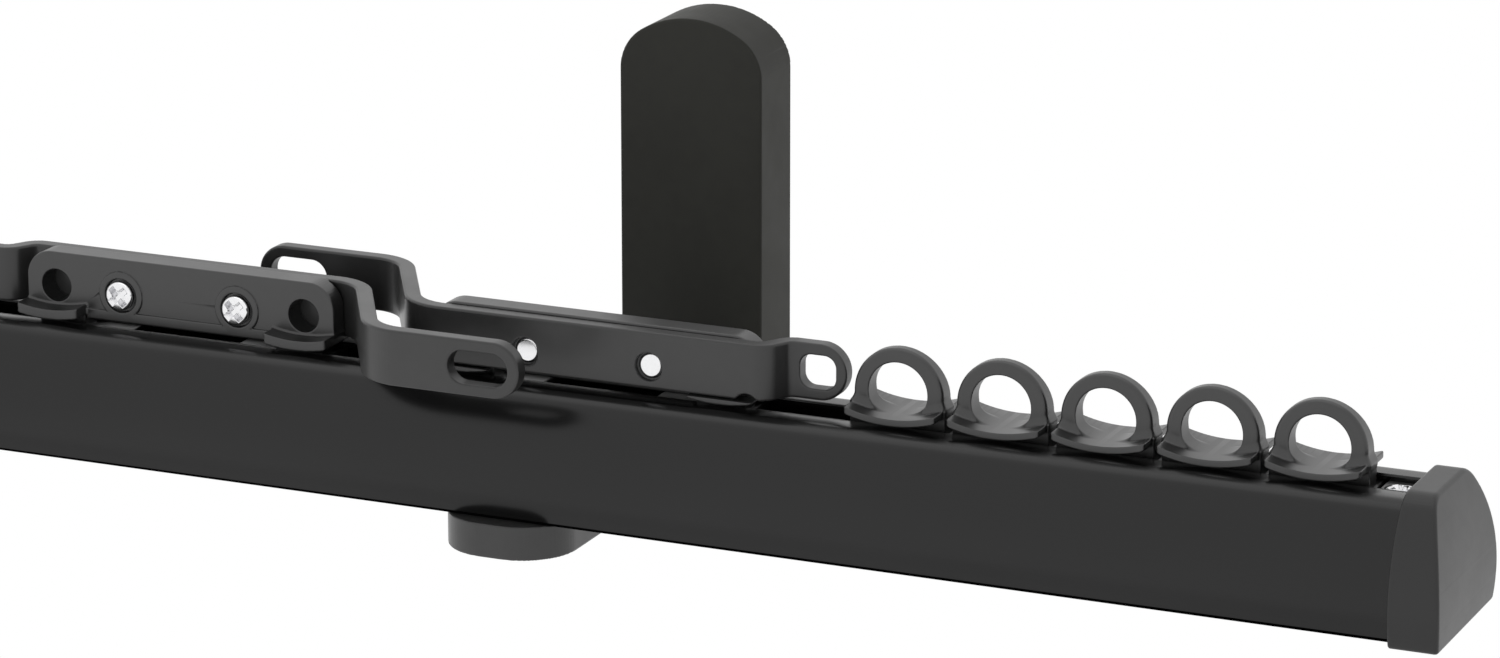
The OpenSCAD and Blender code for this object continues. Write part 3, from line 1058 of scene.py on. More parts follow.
@dataclass(frozen=True)
class Frame:
    """Where the track lies in the part's frame, and who stands on it."""

    track_y: float = -85.3
    track_z: float = -46.0
    overlap_x: float = 148.5
    master_x: float = 43.8
    first_glider_x: float = 104.3
    pitch: float = 20.0
    gliders: int = 5
    bracket_x: float = 179.0

    def on_track(self, x: float = 0.0) -> Triple:
        """Shift from the track's frame to the part's."""
        return (x, self.track_y, self.track_z)


class Side(Enum):
    """A side of the overlap, as its direction along x."""

    RIGHT = 1
    LEFT = -1

    @property
    def word(self) -> str:
        """The side's name in the names of bodies and nodes."""
        return self.name.lower()


@dataclass
class Track:
    """The extrusion and the two caps on its ends."""

    frame: Frame
    section: Section = field(default_factory=Section)
    length: float = 711.0
    cap_lap: float = 4.8
    cap_end: float = 4.6
    cap_end_r: float = 60.0
    cap_end_z: float = 4.5
    proud: float = 1.15
    top_proud: float = 1.65
    bottom_r: float = 1.0
    top_r: float = 6.0
    tongue: float = 3.0
    tongue_root: float = 0.5
    run: float = 0.4
    fit: float = 0.05
    rim_r: float = 0.45
    edge_r: float = 0.7
    smooth: float = math.radians(24)
    mesher: Mesher = Mesher(0.3)

    def rail(self, workshop: Workshop, dresser: Dresser) -> None:
        """Makes the extrusion from its section.

        Args:
            workshop: Holds the tree.
            dresser: Finishes the piece.
        """
        flat = bmesh.new()
        edges = []
        for loop in (self.section.skin(), self.section.hollow()):
            corners = [
                flat.verts.new((0, (self.frame.track_y + y) * MM, (self.frame.track_z + z) * MM))
                for y, z in loop
            ]
            edges += [flat.edges.new((a, b)) for a, b in zip(corners, corners[1:] + corners[:1])]
        bmesh.ops.triangle_fill(
            flat, use_beauty=True, use_dissolve=False, edges=edges, normal=(1, 0, 0)
        )
        for face in flat.faces:
            face.normal_update()
            if face.normal.x < 0:
                face.normal_flip()
        mesh = bpy.data.meshes.new("track_section")
        flat.to_mesh(mesh)
        flat.free()
        made = workshop.run(
            mesh,
            "barrel_track",
            workshop.extrusion(),
            {
                "Start": -self.length / 2 * MM,
                "Length": self.length * MM,
                "Material": dresser.material(TRACK_PAINT),
            },
        )
        made.data.shade_smooth()
        made.data.set_sharp_from_angle(angle=self.smooth)
        dresser.piece(made, TRACK_PAINT, "rail", "track")

    def cap(self, side: Side) -> Solid:
        """The cap at one end, in the track's frame.

        Args:
            side: The end.

        Returns:
            The cap.
        """
        s, end = self.section, self.length / 2
        face = end + self.cap_end
        rim = s.outline(self.proud, s.height + self.top_proud, self.bottom_r, self.top_r)
        bulge = rod(Axis.Y, self.cap_end_r, (face - self.cap_end_r, self.cap_end_z))
        body = prism(Axis.X, rim).meet(bulge, self.edge_r)
        body = body.meet(layer(Axis.X, end - self.cap_lap, face + self.cap_end_r), self.rim_r)
        bore = prism(Axis.X, s.outline(self.fit, s.height + self.fit, s.bottom_r, s.top_r))
        body = body.cut(bore & layer(Axis.X, 0, end + self.fit), self.rim_r / 2)
        half = s.channel_w / 2 - self.run
        tongue = block(
            (end - self.tongue, end + self.tongue_root),
            (-half, half),
            (s.channel_z + self.run, s.lip_z - self.run),
            self.rim_r,
        )
        whole = body | tongue
        return whole if side is Side.RIGHT else Solid(lambda x, y, z: whole.at(-x, y, z))

    def caps(self, dresser: Dresser) -> None:
        """Makes both end caps.

        Args:
            dresser: Finishes the pieces.
        """
        end, wide = self.length / 2, self.section.bulge_r - self.section.bulge_shift + self.proud
        for side in Side:
            near, far = sorted(side.value * x for x in (end - self.cap_lap, end + self.cap_end))
            low = (near, -wide, -self.proud)
            high = (far, wide, self.section.height + self.top_proud)
            mesh = self.mesher.mesh("cap", self.cap(side), low, high)
            cap = place(mesh, f"bulged_cap_{side.word}", self.frame.on_track())
            dresser.piece(cap, CAP_PLASTIC, "rail", f"end_cap_{side.word}")


@dataclass
class Gliders:
    """The ring gliders, five on each side of the master carriers."""

    frame: Frame
    section: Section
    runner_l: float = 19.8
    runner_h: float = 5.0
    neck_t: float = 4.4
    ring_r: float = 8.7
    ring_z: float = 29.0
    eye_r: float = 5.75
    eye_z: float = 29.35
    ring_t: float = 4.5
    ring_top_t: float = 2.8
    saddle_l: float = 17.8
    saddle_d: float = 13.0
    saddle_z: float = 25.55
    saddle_rise: float = 1.5
    saddle_back: float = 1.0
    saddle_t: float = 1.3
    run: float = 0.4
    neck_in: float = 0.6
    shoulder_z: float = 27.0
    flare_r: float = 1.8
    ring_edge: float = 0.3
    rim_edge: float = 1.1
    eye_edge: float = 0.35
    saddle_edge: float = 0.25
    saddle_corner: float = 0.7
    runner_edge: float = 0.3
    mesher: Mesher = Mesher(0.22)

    def runner(self, top: float, start: float = 0.0) -> Solid:
        """A runner in the channel, with its neck.

        Args:
            top: Level of the neck's top.
            start: How much further in the neck's left end stands than its right end.

        Returns:
            The runner and its neck.
        """
        wide, high = self.section.channel_w / 2 - self.run, self.section.lip_z - self.run
        half, neck, r = self.runner_l / 2, self.neck_t / 2, self.runner_edge
        foot = block((-half, half), (-wide, wide), (high - self.runner_h, high), r)
        span = (start + self.neck_in - half, half - self.neck_in)
        return foot | block(span, (-neck, neck), (high - PAST, top), r)

    def saddle(
        self, length: float, rise: float, back: float = 0.0, thicker: float = 0.0
    ) -> tuple[Solid, Solid]:
        """A saddle that is lowest in its middle, rounded at its corners in plan.

        Args:
            length: Its length along the track.
            rise: How far it rises to its ends.
            back: How much further it reaches behind than in front.
            thicker: How much thicker it is than a glider's, above its underside.

        Returns:
            The saddle, and the room above its curve.
        """
        r = ((length / 2) ** 2 + rise**2) / (2 * rise)
        centre, corner = (0, self.saddle_z + thicker + r), self.saddle_corner

        def plan(*p: Grid) -> Grid:
            """Distance to the saddle's outline in plan.

            Args:
                p: Coordinates of the points.

            Returns:
                The distances.
            """
            across = np.abs(p[0]) - length / 2 + corner
            deep = np.abs(p[1] - back / 2) - (self.saddle_d + back) / 2 + corner
            outside = np.hypot(plus(across), plus(deep))
            return outside + np.minimum(np.maximum(across, deep), 0) - corner

        above = rod(Axis.Y, r, centre)
        sheet = rod(Axis.Y, r + self.saddle_t + thicker, centre).meet(~above, self.saddle_edge)
        return sheet.meet(Solid(plan), self.saddle_edge), above

    def solid(self) -> Solid:
        """A whole glider, centred on x = 0.

        Returns:
            The glider.
        """
        half = self.ring_t / 2
        lean = half * 2 - self.ring_top_t
        size = math.hypot(self.ring_r, lean)
        disc = rod(Axis.Y, self.ring_r, (0, self.ring_z))
        front = Solid(lambda x, y, z: -half - y)
        back = Solid(
            lambda x, y, z: ((y - half) * self.ring_r + (z - self.ring_z) * lean) / size
        )
        flat = layer(Axis.Y, -half, half)
        ring = disc.meet(front, self.rim_edge)
        ring = ring.meet(back, self.ring_edge).meet(flat, self.ring_edge)
        ring = ring.cut(rod(Axis.Y, self.eye_r, (0, self.eye_z)), self.eye_edge)
        saddle, above = self.saddle(self.saddle_l, self.saddle_rise, self.saddle_back)
        shoulders = self.runner(self.shoulder_z) - above
        return (ring & above).fillet(saddle | shoulders, self.flare_r)

    def build(self, dresser: Dresser) -> None:
        """Makes all the gliders from one mesh.

        Args:
            dresser: Finishes the pieces.
        """
        half, deep = self.runner_l / 2, self.section.channel_w / 2
        low = (-half, -deep, self.section.channel_z)
        high = (half, deep, self.ring_z + self.ring_r)
        mesh = self.mesher.mesh("glider", self.solid(), low, high)
        for side in Side:
            for i in range(self.frame.gliders):
                name = f"glider_{side.word}_{i + 1}"
                reach = self.frame.first_glider_x + i * self.frame.pitch
                x = self.frame.overlap_x + side.value * reach
                ring = place(mesh, f"ring_{name}", self.frame.on_track(x))
                dresser.piece(ring, MOULDED_PLASTIC, name, name)


@dataclass
class Masters:
    """The two master carriers: a moulded block with a bent steel arm behind it."""

    frame: Frame
    gliders: Gliders
    length: float = 66.6
    thick: float = 5.3
    top: float = 36.65
    foot: float = 24.25
    corner_r: float = 5.2
    low_corner_r: float = 1.5
    proud: float = 0.35
    boss_r: float = 4.7
    band_z: float = 26.3
    eye_x: float = 26.85
    eye_r: float = 3.2
    eye_z: float = 30.0
    screw_x: float = 12.6
    screw_z: float = 29.6
    hole_r: float = 2.35
    recess_r: float = 3.36
    head_r: float = 2.9
    head_h: float = 2.3
    head_proud: float = 1.25
    saddle_l: float = 13.2
    saddle_rise: float = 0.8
    saddle_thicker: float = 0.65
    neck_start: float = 8.6
    foot_inset: float = 2.0
    foot_lap: float = 2.0
    arm_t: float = 3.2
    arm_h: float = 10.7
    arm_z: float = 25.55
    long_end: float = 82.35
    long_cross: float = 26.25
    short_end: float = 49.8
    short_cross: float = 5.3
    bend_r: float = 10.0
    relief_in: float = 3.2
    relief_d: float = 0.7
    short_bend_r: float = 3.2
    turn: float = math.radians(60)
    long_corner: float = 36.2
    short_corner: float = 34.9
    long_slot_x: float = 73.9
    long_slot_l: float = 12.1
    short_slot_x: float = 44.1
    short_slot_l: float = 7.1
    short_slot_r: float = 2.3
    slot_w: float = 6.4
    tip_r: float = 2.75
    tip_d: float = 1.2
    notch_x: float = 32.15
    notch_r: float = 2.4
    notch_drop: float = 1.2
    block_edge: float = 0.4
    line_edge: float = 0.28
    saddle_flare: float = 0.5
    arm_edge: float = 0.45
    slot_share: float = 0.8
    hole_edge: float = 0.1
    tip_edge: float = 0.15
    notch_edge: float = 0.3
    corner_steps: int = 14
    low_corner_steps: int = 8
    bend_steps: int = 16
    block_mesher: Mesher = Mesher(0.2)
    arm_mesher: Mesher = Mesher(0.28)

    @property
    def strip_y(self) -> float:
        """Level of the arm's middle where it lies on the block."""
        return (self.thick + self.arm_t) / 2

    def at_screws(self, r: float) -> Solid:
        """Two endless round rods on the lines of the two screws."""
        return rod(Axis.Y, r, (0, self.screw_z)).doubled(self.screw_x)

    def body(self) -> Solid:
        """The moulded block with its saddles and feet.

        Returns:
            The solid, centred on x = 0.
        """
        front, back, half = -self.thick / 2, self.thick / 2, self.length / 2
        low_r, high_r, edge = self.low_corner_r, self.corner_r, self.line_edge
        low = arc((half - low_r, self.foot + 2 * low_r), low_r, -QUARTER, 0, self.low_corner_steps)
        high = arc((half - high_r, self.top - high_r), high_r, 0, QUARTER, self.corner_steps)
        plate = prism(Axis.Y, low + high + mirrored(low + high))
        whole = plate.meet(layer(Axis.Y, front + self.proud, back), self.block_edge)
        band = self.eye_x - self.saddle_l / 2
        raised = block((-band, band), (front, back), (self.foot, self.band_z), edge)
        bosses = self.at_screws(self.boss_r).meet(layer(Axis.Y, front, back), edge)
        under = layer(Axis.Z, 0, self.arm_z - self.gliders.saddle_edge)
        room = layer(Axis.Y, -self.gliders.saddle_d, back) | under
        saddle, _ = self.gliders.saddle(
            self.saddle_l, self.saddle_rise, thicker=self.saddle_thicker
        )
        saddles = (saddle & room).doubled(self.eye_x)
        whole = (whole | raised | bosses).fillet(saddles, self.saddle_flare)
        eyes = rod(Axis.Y, self.eye_r, (0, self.eye_z)).doubled(self.eye_x)
        sunk = layer(Axis.Y, front - PAST, front + self.head_h - self.head_proud)
        whole = whole.cut(eyes, self.block_edge / 2) - self.at_screws(self.hole_r)
        whole = whole.cut(self.at_screws(self.recess_r) & sunk, edge)
        relief = block(
            (half - self.relief_in, half + PAST),
            (back - self.relief_d, back + PAST),
            (self.arm_z, self.top + PAST),
        )
        whole = whole.cut(relief, edge)
        feet_x = (self.length - self.gliders.runner_l) / 2 - self.foot_inset
        feet = self.gliders.runner(self.foot + self.foot_lap, self.neck_start)
        return whole | feet.doubled(feet_x)

    def bend(self, corner: Pair, heading: float, turn: float, r: float) -> list[Pair]:
        """Points of a bend of the arm's middle line.

        Args:
            corner: Where its two straight lines would meet.
            heading: Direction in which it is entered.
            turn: Angle that it turns by.
            r: Its radius.

        Returns:
            Points (x, y) in plan.
        """
        way = 1 if turn > 0 else -1
        reach = r * math.tan(abs(turn) / 2)
        x = corner[0] - reach * math.cos(heading) - way * r * math.sin(heading)
        y = corner[1] - reach * math.sin(heading) + way * r * math.cos(heading)
        start = heading - way * QUARTER
        return arc((x, y), r, start, start + turn, self.bend_steps)

    def path(self) -> list[Pair]:
        """Middle line of the arm in plan, from its short end to its long end.

        Returns:
            Points (x, y) in plan.
        """
        mid_y, turn = self.strip_y, self.turn
        long_y, short_y = mid_y - self.long_cross, mid_y - self.short_cross
        long_in, short_in = (c / math.tan(turn) for c in (self.long_cross, self.short_cross))
        return (
            [(-self.short_end - PAST, short_y)]
            + self.bend((-self.short_corner - short_in, short_y), 0, turn, self.short_bend_r)
            + self.bend((-self.short_corner, mid_y), turn, -turn, self.short_bend_r)
            + self.bend((self.long_corner, mid_y), 0, -turn, self.bend_r)
            + self.bend((self.long_corner + long_in, long_y), -turn, turn, self.bend_r)
            + [(self.long_end + PAST, long_y)]
        )

    def arm(self) -> Solid:
        """The bent arm with its slots, screw holes and notch.

        Returns:
            The solid, centred on its block.
        """
        mid_z, half = self.arm_z + self.arm_h / 2, self.arm_h / 2
        back = self.thick / 2 + self.arm_t
        mid_x = (self.long_end - self.short_end) / 2
        side = slot(self.long_end + self.short_end, self.arm_h, mid_x, mid_z, half)
        whole = bent_strip(self.path(), self.arm_t).meet(side, self.arm_edge)
        for length, x, r in (
            (self.long_slot_l, self.long_slot_x, self.slot_w / 2),
            (self.short_slot_l, -self.short_slot_x, self.short_slot_r),
        ):
            opening = slot(length, self.slot_w, x, mid_z, r)
            whole = whole.cut(opening, self.arm_edge * self.slot_share)
        behind = layer(Axis.Y, 0, back + PAST)
        whole = whole.cut(self.at_screws(self.hole_r) & behind, self.hole_edge)
        sunk = layer(Axis.Y, back - self.tip_d, back + PAST)
        whole = whole.cut(self.at_screws(self.tip_r) & sunk, self.tip_edge)
        notch = rod(Axis.Y, self.notch_r, (-self.notch_x, self.arm_z - self.notch_drop)) & behind
        return whole.cut(notch, self.notch_edge)

    def build(self, dresser: Dresser) -> None:
        """Makes the blocks and arms of both carriers.

        Args:
            dresser: Finishes the pieces.
        """
        section = self.gliders.section
        half, deep = self.length / 2, section.channel_w / 2
        low, high = (-half, -deep, section.channel_z), (half, deep, self.top)
        block_mesh = self.block_mesher.mesh("block", self.body(), low, high)
        low = (-self.short_end, self.strip_y - self.long_cross - self.arm_t, self.arm_z)
        high = (self.long_end, self.strip_y + self.arm_t, self.arm_z + self.arm_h)
        arm_mesh = self.arm_mesher.mesh("arm", self.arm(), low, high)
        for side in Side:
            shift = self.frame.on_track(self.frame.overlap_x + side.value * self.frame.master_x)
            # A shift comes after the half turn, so both carriers are the same part
            turned = side is Side.RIGHT
            body = f"master_{side.word}"
            made = place(block_mesh, f"moulded_block_{side.word}", shift, turned)
            dresser.piece(made, MOULDED_PLASTIC, body, f"master_block_{side.word}")
            made = place(arm_mesh, f"bent_arm_{side.word}", shift, turned)
            dresser.piece(made, ARM_PAINT, body, f"master_arm_{side.word}")


@dataclass
class Brackets:
    """The two wall brackets: a covered wall plate and an arm under the track."""

    frame: Frame
    cover_w: float = 30.3
    cover_d: float = 14.6
    cover_top: float = 76.5
    cover_foot: float = -9.0
    cover_r: float = 9.5
    cover_big_r: float = 20.0
    cover_t: float = 1.6
    cover_edge: float = 0.35
    plate_t: float = 2.5
    bar_w: float = 25.2
    bar_t: float = 6.5
    bar_reach: float = 20.0
    bar_r: float = 10.5
    bar_edge: float = 0.25
    back_edge: float = 0.2
    mouth_edge: float = 0.15
    seat_edge: float = 0.3
    root_r: float = 1.0
    arch_steps: int = 14
    big_arch_steps: int = 10
    bar_steps: int = 20
    mouth: float = 0.2
    upright_w: float = 18.0
    upright_t: float = 6.0
    upright_top: float = 22.0
    screw_z: Pair = (8.0, 16.0)
    screw_r: float = 2.0
    head_r: float = 3.5
    head_h: float = 2.2
    run: float = 0.4
    fit: float = 0.05
    cover_mesher: Mesher = Mesher(0.4)
    bar_mesher: Mesher = Mesher(0.38)

    def arch(self, inset: float) -> list[Pair]:
        """Outline of the cover in the x-z plane, with three arcs on top.

        Args:
            inset: How far it is drawn in.

        Returns:
            Points (x, z).
        """
        half, r, big = (c - inset for c in (self.cover_w / 2, self.cover_r, self.cover_big_r))
        rise = math.sqrt((big - r) ** 2 - (half - r) ** 2)
        big_z = self.cover_top - self.cover_big_r
        join = math.atan2(rise, half - r)
        right = [(half, self.cover_foot + inset)]
        right += arc((half - r, big_z + rise), r, 0, join, self.arch_steps)
        right += arc((0, big_z), big, join, QUARTER, self.big_arch_steps)[1:]
        return right + mirrored(right[:-1])

    def cover(self) -> Solid:
        """The cover, open towards the wall, with a mouth for the arm.

        Returns:
            The cover, its back on the wall.
        """
        front, back, t = -self.cover_d, self.cover_d, self.cover_t
        outside = prism(Axis.Y, self.arch(0)).meet(layer(Axis.Y, front, back), self.cover_edge)
        inside = prism(Axis.Y, self.arch(t)) & layer(Axis.Y, front + t, back)
        shell = (outside - inside).meet(layer(Axis.Y, front - PAST, 0), self.back_edge)
        half = self.bar_w / 2 + self.mouth
        mouth = block(
            (-half, half),
            (front - 2 * PAST, front + 2 * t),
            (-self.bar_t - self.mouth, self.mouth),
        )
        return shell.cut(mouth, self.mouth_edge)

    def bar(self) -> Solid:
        """The arm: a flat bar under the track and an upright behind the cover.

        Returns:
            The arm, in the bracket's frame.
        """
        front, back = self.frame.track_y - self.bar_reach, -self.plate_t
        upright, half, r = back - self.upright_t, self.bar_w / 2, self.bar_r
        right = arc((half - r, front + r), r, -QUARTER, 0, self.bar_steps)
        right += [(half, upright), (half - self.cover_t, upright), (half - self.cover_t, back)]
        plan = prism(Axis.Z, right + mirrored(right))
        whole = plan.meet(layer(Axis.Z, -self.bar_t, 0), self.bar_edge)
        wide = self.upright_w / 2
        span = (-self.bar_t, self.upright_top)
        stand = block((-wide, wide), (upright, back), span, self.bar_edge)
        whole = whole.fillet(stand, self.root_r) & layer(Axis.Y, front - PAST, back)
        for z in self.screw_z:
            whole = whole - rod(Axis.Y, self.screw_r + self.fit, (0, z))
        hole = rod(Axis.Z, self.screw_r + self.fit, (0, self.frame.track_y))
        seat = rod(Axis.Z, self.head_r + self.run, (0, self.frame.track_y))
        seat = seat & layer(Axis.Z, -2 * self.bar_t, -self.bar_t + self.head_h + self.fit)
        return (whole - hole).cut(seat, self.seat_edge)

    def build(self, dresser: Dresser) -> None:
        """Makes the covers and arms of both brackets.

        Args:
            dresser: Finishes the pieces.
        """
        half = self.cover_w / 2
        low, high = (-half, -self.cover_d, self.cover_foot), (half, 0, self.cover_top)
        cover_mesh = self.cover_mesher.mesh("cover", self.cover(), low, high)
        low = (-self.bar_w / 2, self.frame.track_y - self.bar_reach, -self.bar_t)
        high = (self.bar_w / 2, -self.plate_t, self.upright_top)
        bar_mesh = self.bar_mesher.mesh("bar", self.bar(), low, high)
        for side in Side:
            shift = (side.value * self.frame.bracket_x, 0, self.frame.track_z)
            made = place(cover_mesh, f"arched_cover_{side.word}", shift)
            dresser.piece(made, COVER_PLASTIC, "rail", f"wall_cover_{side.word}")
            made = place(bar_mesh, f"carrying_bar_{side.word}", shift)
            dresser.piece(made, ARM_PAINT, "rail", f"bracket_arm_{side.word}")


@dataclass(frozen=True)
class Screw:
    """A pan head machine screw with a cross recess, its head's top at z = 0.

    Attributes:
        r: Radius of the thread.
        head_r: Radius of the head.
        head_h: Height of the head.
        length: Whole length.
        step: Size of a cell of its mesh.
        pitch: Pitch of the thread.
        thread: Depth of the thread.
        dome: Rise of the head's top.
        edge: Radius of the head's upper edge.
        foot_edge: Radius of the head's lower edge.
        tip_edge: Radius of the shank's edges.
        recess_edge: Radius of the recess's edge.
        reach: Reach of the recess's arms as a share of the head's radius.
        deep: Depth of the recess as a share of the head's height.
        wide: Half width of its arms as a share of the head's radius.
        draw: Share of their reach that the arms lose down to the bottom.
        flare: Width of the arms at the top and what it loses, with wide as 1.
        middle: Slope of the pointed middle and depth of its point, with wide and deep as 1.
    """

    r: float
    head_r: float
    head_h: float
    length: float
    step: float
    pitch: float = 0.7
    thread: float = 0.25
    dome: float = 0.45
    edge: float = 0.6
    foot_edge: float = 0.1
    tip_edge: float = 0.25
    recess_edge: float = 0.05
    reach: float = 0.84
    deep: float = 0.72
    wide: float = 0.2
    draw: float = 0.45
    flare: Pair = (1.25, 0.4)
    middle: Pair = (2.0, 1.15)

    def solid(self) -> Solid:
        """The screw along -z.

        Returns:
            The screw.
        """
        ball = (self.head_r**2 + self.dome**2) / (2 * self.dome)
        cap = Solid(lambda x, y, z: np.sqrt(x**2 + y**2 + (z + ball) ** 2) - ball)
        head = rod(Axis.Z, self.head_r).meet(layer(Axis.Z, -self.head_h, PAST), self.foot_edge)
        head = head.meet(cap, self.edge)

        def shank(x: Grid, y: Grid, z: Grid) -> Grid:
            """Distance to the threaded shank."""
            phase = 2 * math.pi * z / self.pitch - np.arctan2(y, x)
            return np.hypot(x, y) - self.r + self.thread * (0.5 + 0.5 * np.cos(phase))

        stem = Solid(shank).meet(layer(Axis.Z, -self.length, -self.head_h / 2), self.tip_edge)
        return (head | stem).cut(self.recess(), self.recess_edge)

    def recess(self) -> Solid:
        """The cross recess: two crossed tapered slots around a pointed middle.

        Returns:
            The room that the recess takes.
        """
        reach, deep = self.reach * self.head_r, self.deep * self.head_h
        wide = self.wide * self.head_r

        def at(x: Grid, y: Grid, z: Grid) -> Grid:
            """Distance to the recess, near enough to cut with.

            Args:
                x: First coordinate of the points.
                y: Second coordinate of the points.
                z: Third coordinate of the points.

            Returns:
                The distances.
            """
            sink = np.clip(-z / deep, 0, 1)
            long = reach * (1 - self.draw * sink)
            broad = wide * (self.flare[0] - self.flare[1] * sink)
            arms = (np.maximum(np.abs(u) - long, np.abs(v) - broad) for u, v in ((x, y), (y, x)))
            middle = np.hypot(x, y) - self.middle[0] * wide * (self.middle[1] - sink)
            return np.maximum(np.minimum(np.minimum(*arms), middle), -z - deep)

        return Solid(at)

    def template(self, name: str) -> bpy.types.Object:
        """The screw as an object in metres, to be set on seats.

        Args:
            name: Name of the object.

        Returns:
            The object.
        """
        reach = self.head_r
        low, high = (-reach, -reach, -self.length), (reach, reach, 0)
        mesh = Mesher(self.step, flat=0.0).mesh(name, self.solid(), low, high)
        return place(mesh, name, (0, 0, 0))


@dataclass
class Fasteners:
    """All the screws, each set made on its seats."""

    frame: Frame
    track: Track
    masters: Masters
    brackets: Brackets
    stop_l: float = 6.8
    stop_gap: float = 0.1
    stop_head_z: float = 23.1
    stop_r: float = 2.0
    stop_head_r: float = 2.9
    stop_head_h: float = 1.6
    stop_step: float = 0.13
    bracket_step: float = 0.2
    nut_t: float = 2.8
    master_r: float = 2.3
    master_step: float = 0.11
    twist: Pair = (math.radians(40), math.radians(50))
    hang: Triple = (math.pi, 0.0, 0.0)
    outward: Triple = (QUARTER, 0.0, 0.0)
    inward: Triple = (-QUARTER, 0.0, 0.0)
    upward: Triple = (0.0, 0.0, 0.0)

    def row(
        self,
        workshop: Workshop,
        dresser: Dresser,
        name: str,
        screw: Screw,
        seats: Sequence[Sequence[float]],
        turn: Triple,
        body: str,
    ) -> None:
        """Makes one set of screws.

        Args:
            workshop: Holds the tree.
            dresser: Finishes the set.
            name: The CAD node that the set stands for.
            screw: The screw.
            seats: Where each head's top lies, in the part's frame.
            turn: How the screws are turned from standing upright.
            body: The body that they move with.
        """
        template = screw.template(f"{name}_template")
        points = bpy.data.meshes.new(f"{name}_seats")
        points.from_pydata([[c * MM for c in seat] for seat in seats], [], [])
        made = workshop.run(
            points,
            f"cross_{name}",
            workshop.seats(),
            {
                "Screw": template,
                "Turn": turn,
                "Twist From": self.twist[0],
                "Twist To": self.twist[1],
                "Seed": len(name),
                "Material": dresser.material(BRIGHT_PLATING),
            },
        )
        bpy.data.objects.remove(template)
        dresser.piece(made, BRIGHT_PLATING, body, name)

    def build(self, workshop: Workshop, dresser: Dresser) -> None:
        """Makes all the sets of screws.

        Args:
            workshop: Holds the tree.
            dresser: Finishes the sets.
        """
        f, t, m, b = self.frame, self.track, self.masters, self.brackets
        stop_x = t.length / 2 - t.cap_lap - self.stop_gap - self.stop_l / 2
        stop_z = f.track_z + self.stop_head_z
        length = self.stop_head_z - t.section.channel_z
        screw = Screw(self.stop_r, self.stop_head_r, self.stop_head_h, length, self.stop_step)
        seats = [(s.value * stop_x, f.track_y, stop_z) for s in Side]
        self.row(workshop, dresser, "stop_screws", screw, seats, self.upward, "rail")
        seat = -b.plate_t - b.upright_t - b.head_h
        screw = Screw(b.screw_r, b.head_r, b.head_h, -seat, self.bracket_step)
        seats = [(s.value * f.bracket_x, seat, f.track_z + z) for s in Side for z in b.screw_z]
        self.row(workshop, dresser, "bracket_screws", screw, seats, self.outward, "rail")
        length = b.bar_t + t.section.groove_lip + self.nut_t
        screw = Screw(b.screw_r, b.head_r, b.head_h, length, self.bracket_step)
        seats = [(s.value * f.bracket_x, f.track_y, f.track_z - b.bar_t) for s in Side]
        self.row(workshop, dresser, "clamp_screws", screw, seats, self.hang, "rail")
        length = m.head_proud + m.thick + m.arm_t - m.tip_d
        screw = Screw(self.master_r, m.head_r, m.head_h, length, self.master_step)
        for side in Side:
            x = f.overlap_x + side.value * f.master_x
            y = f.track_y + side.value * (m.thick / 2 + m.head_proud)
            seats = [(x + s.value * m.screw_x, y, f.track_z + m.screw_z) for s in Side]
            turn = self.inward if side is Side.RIGHT else self.outward
            name, body = f"master_screws_{side.word}", f"master_{side.word}"
            self.row(workshop, dresser, name, screw, seats, turn, body)


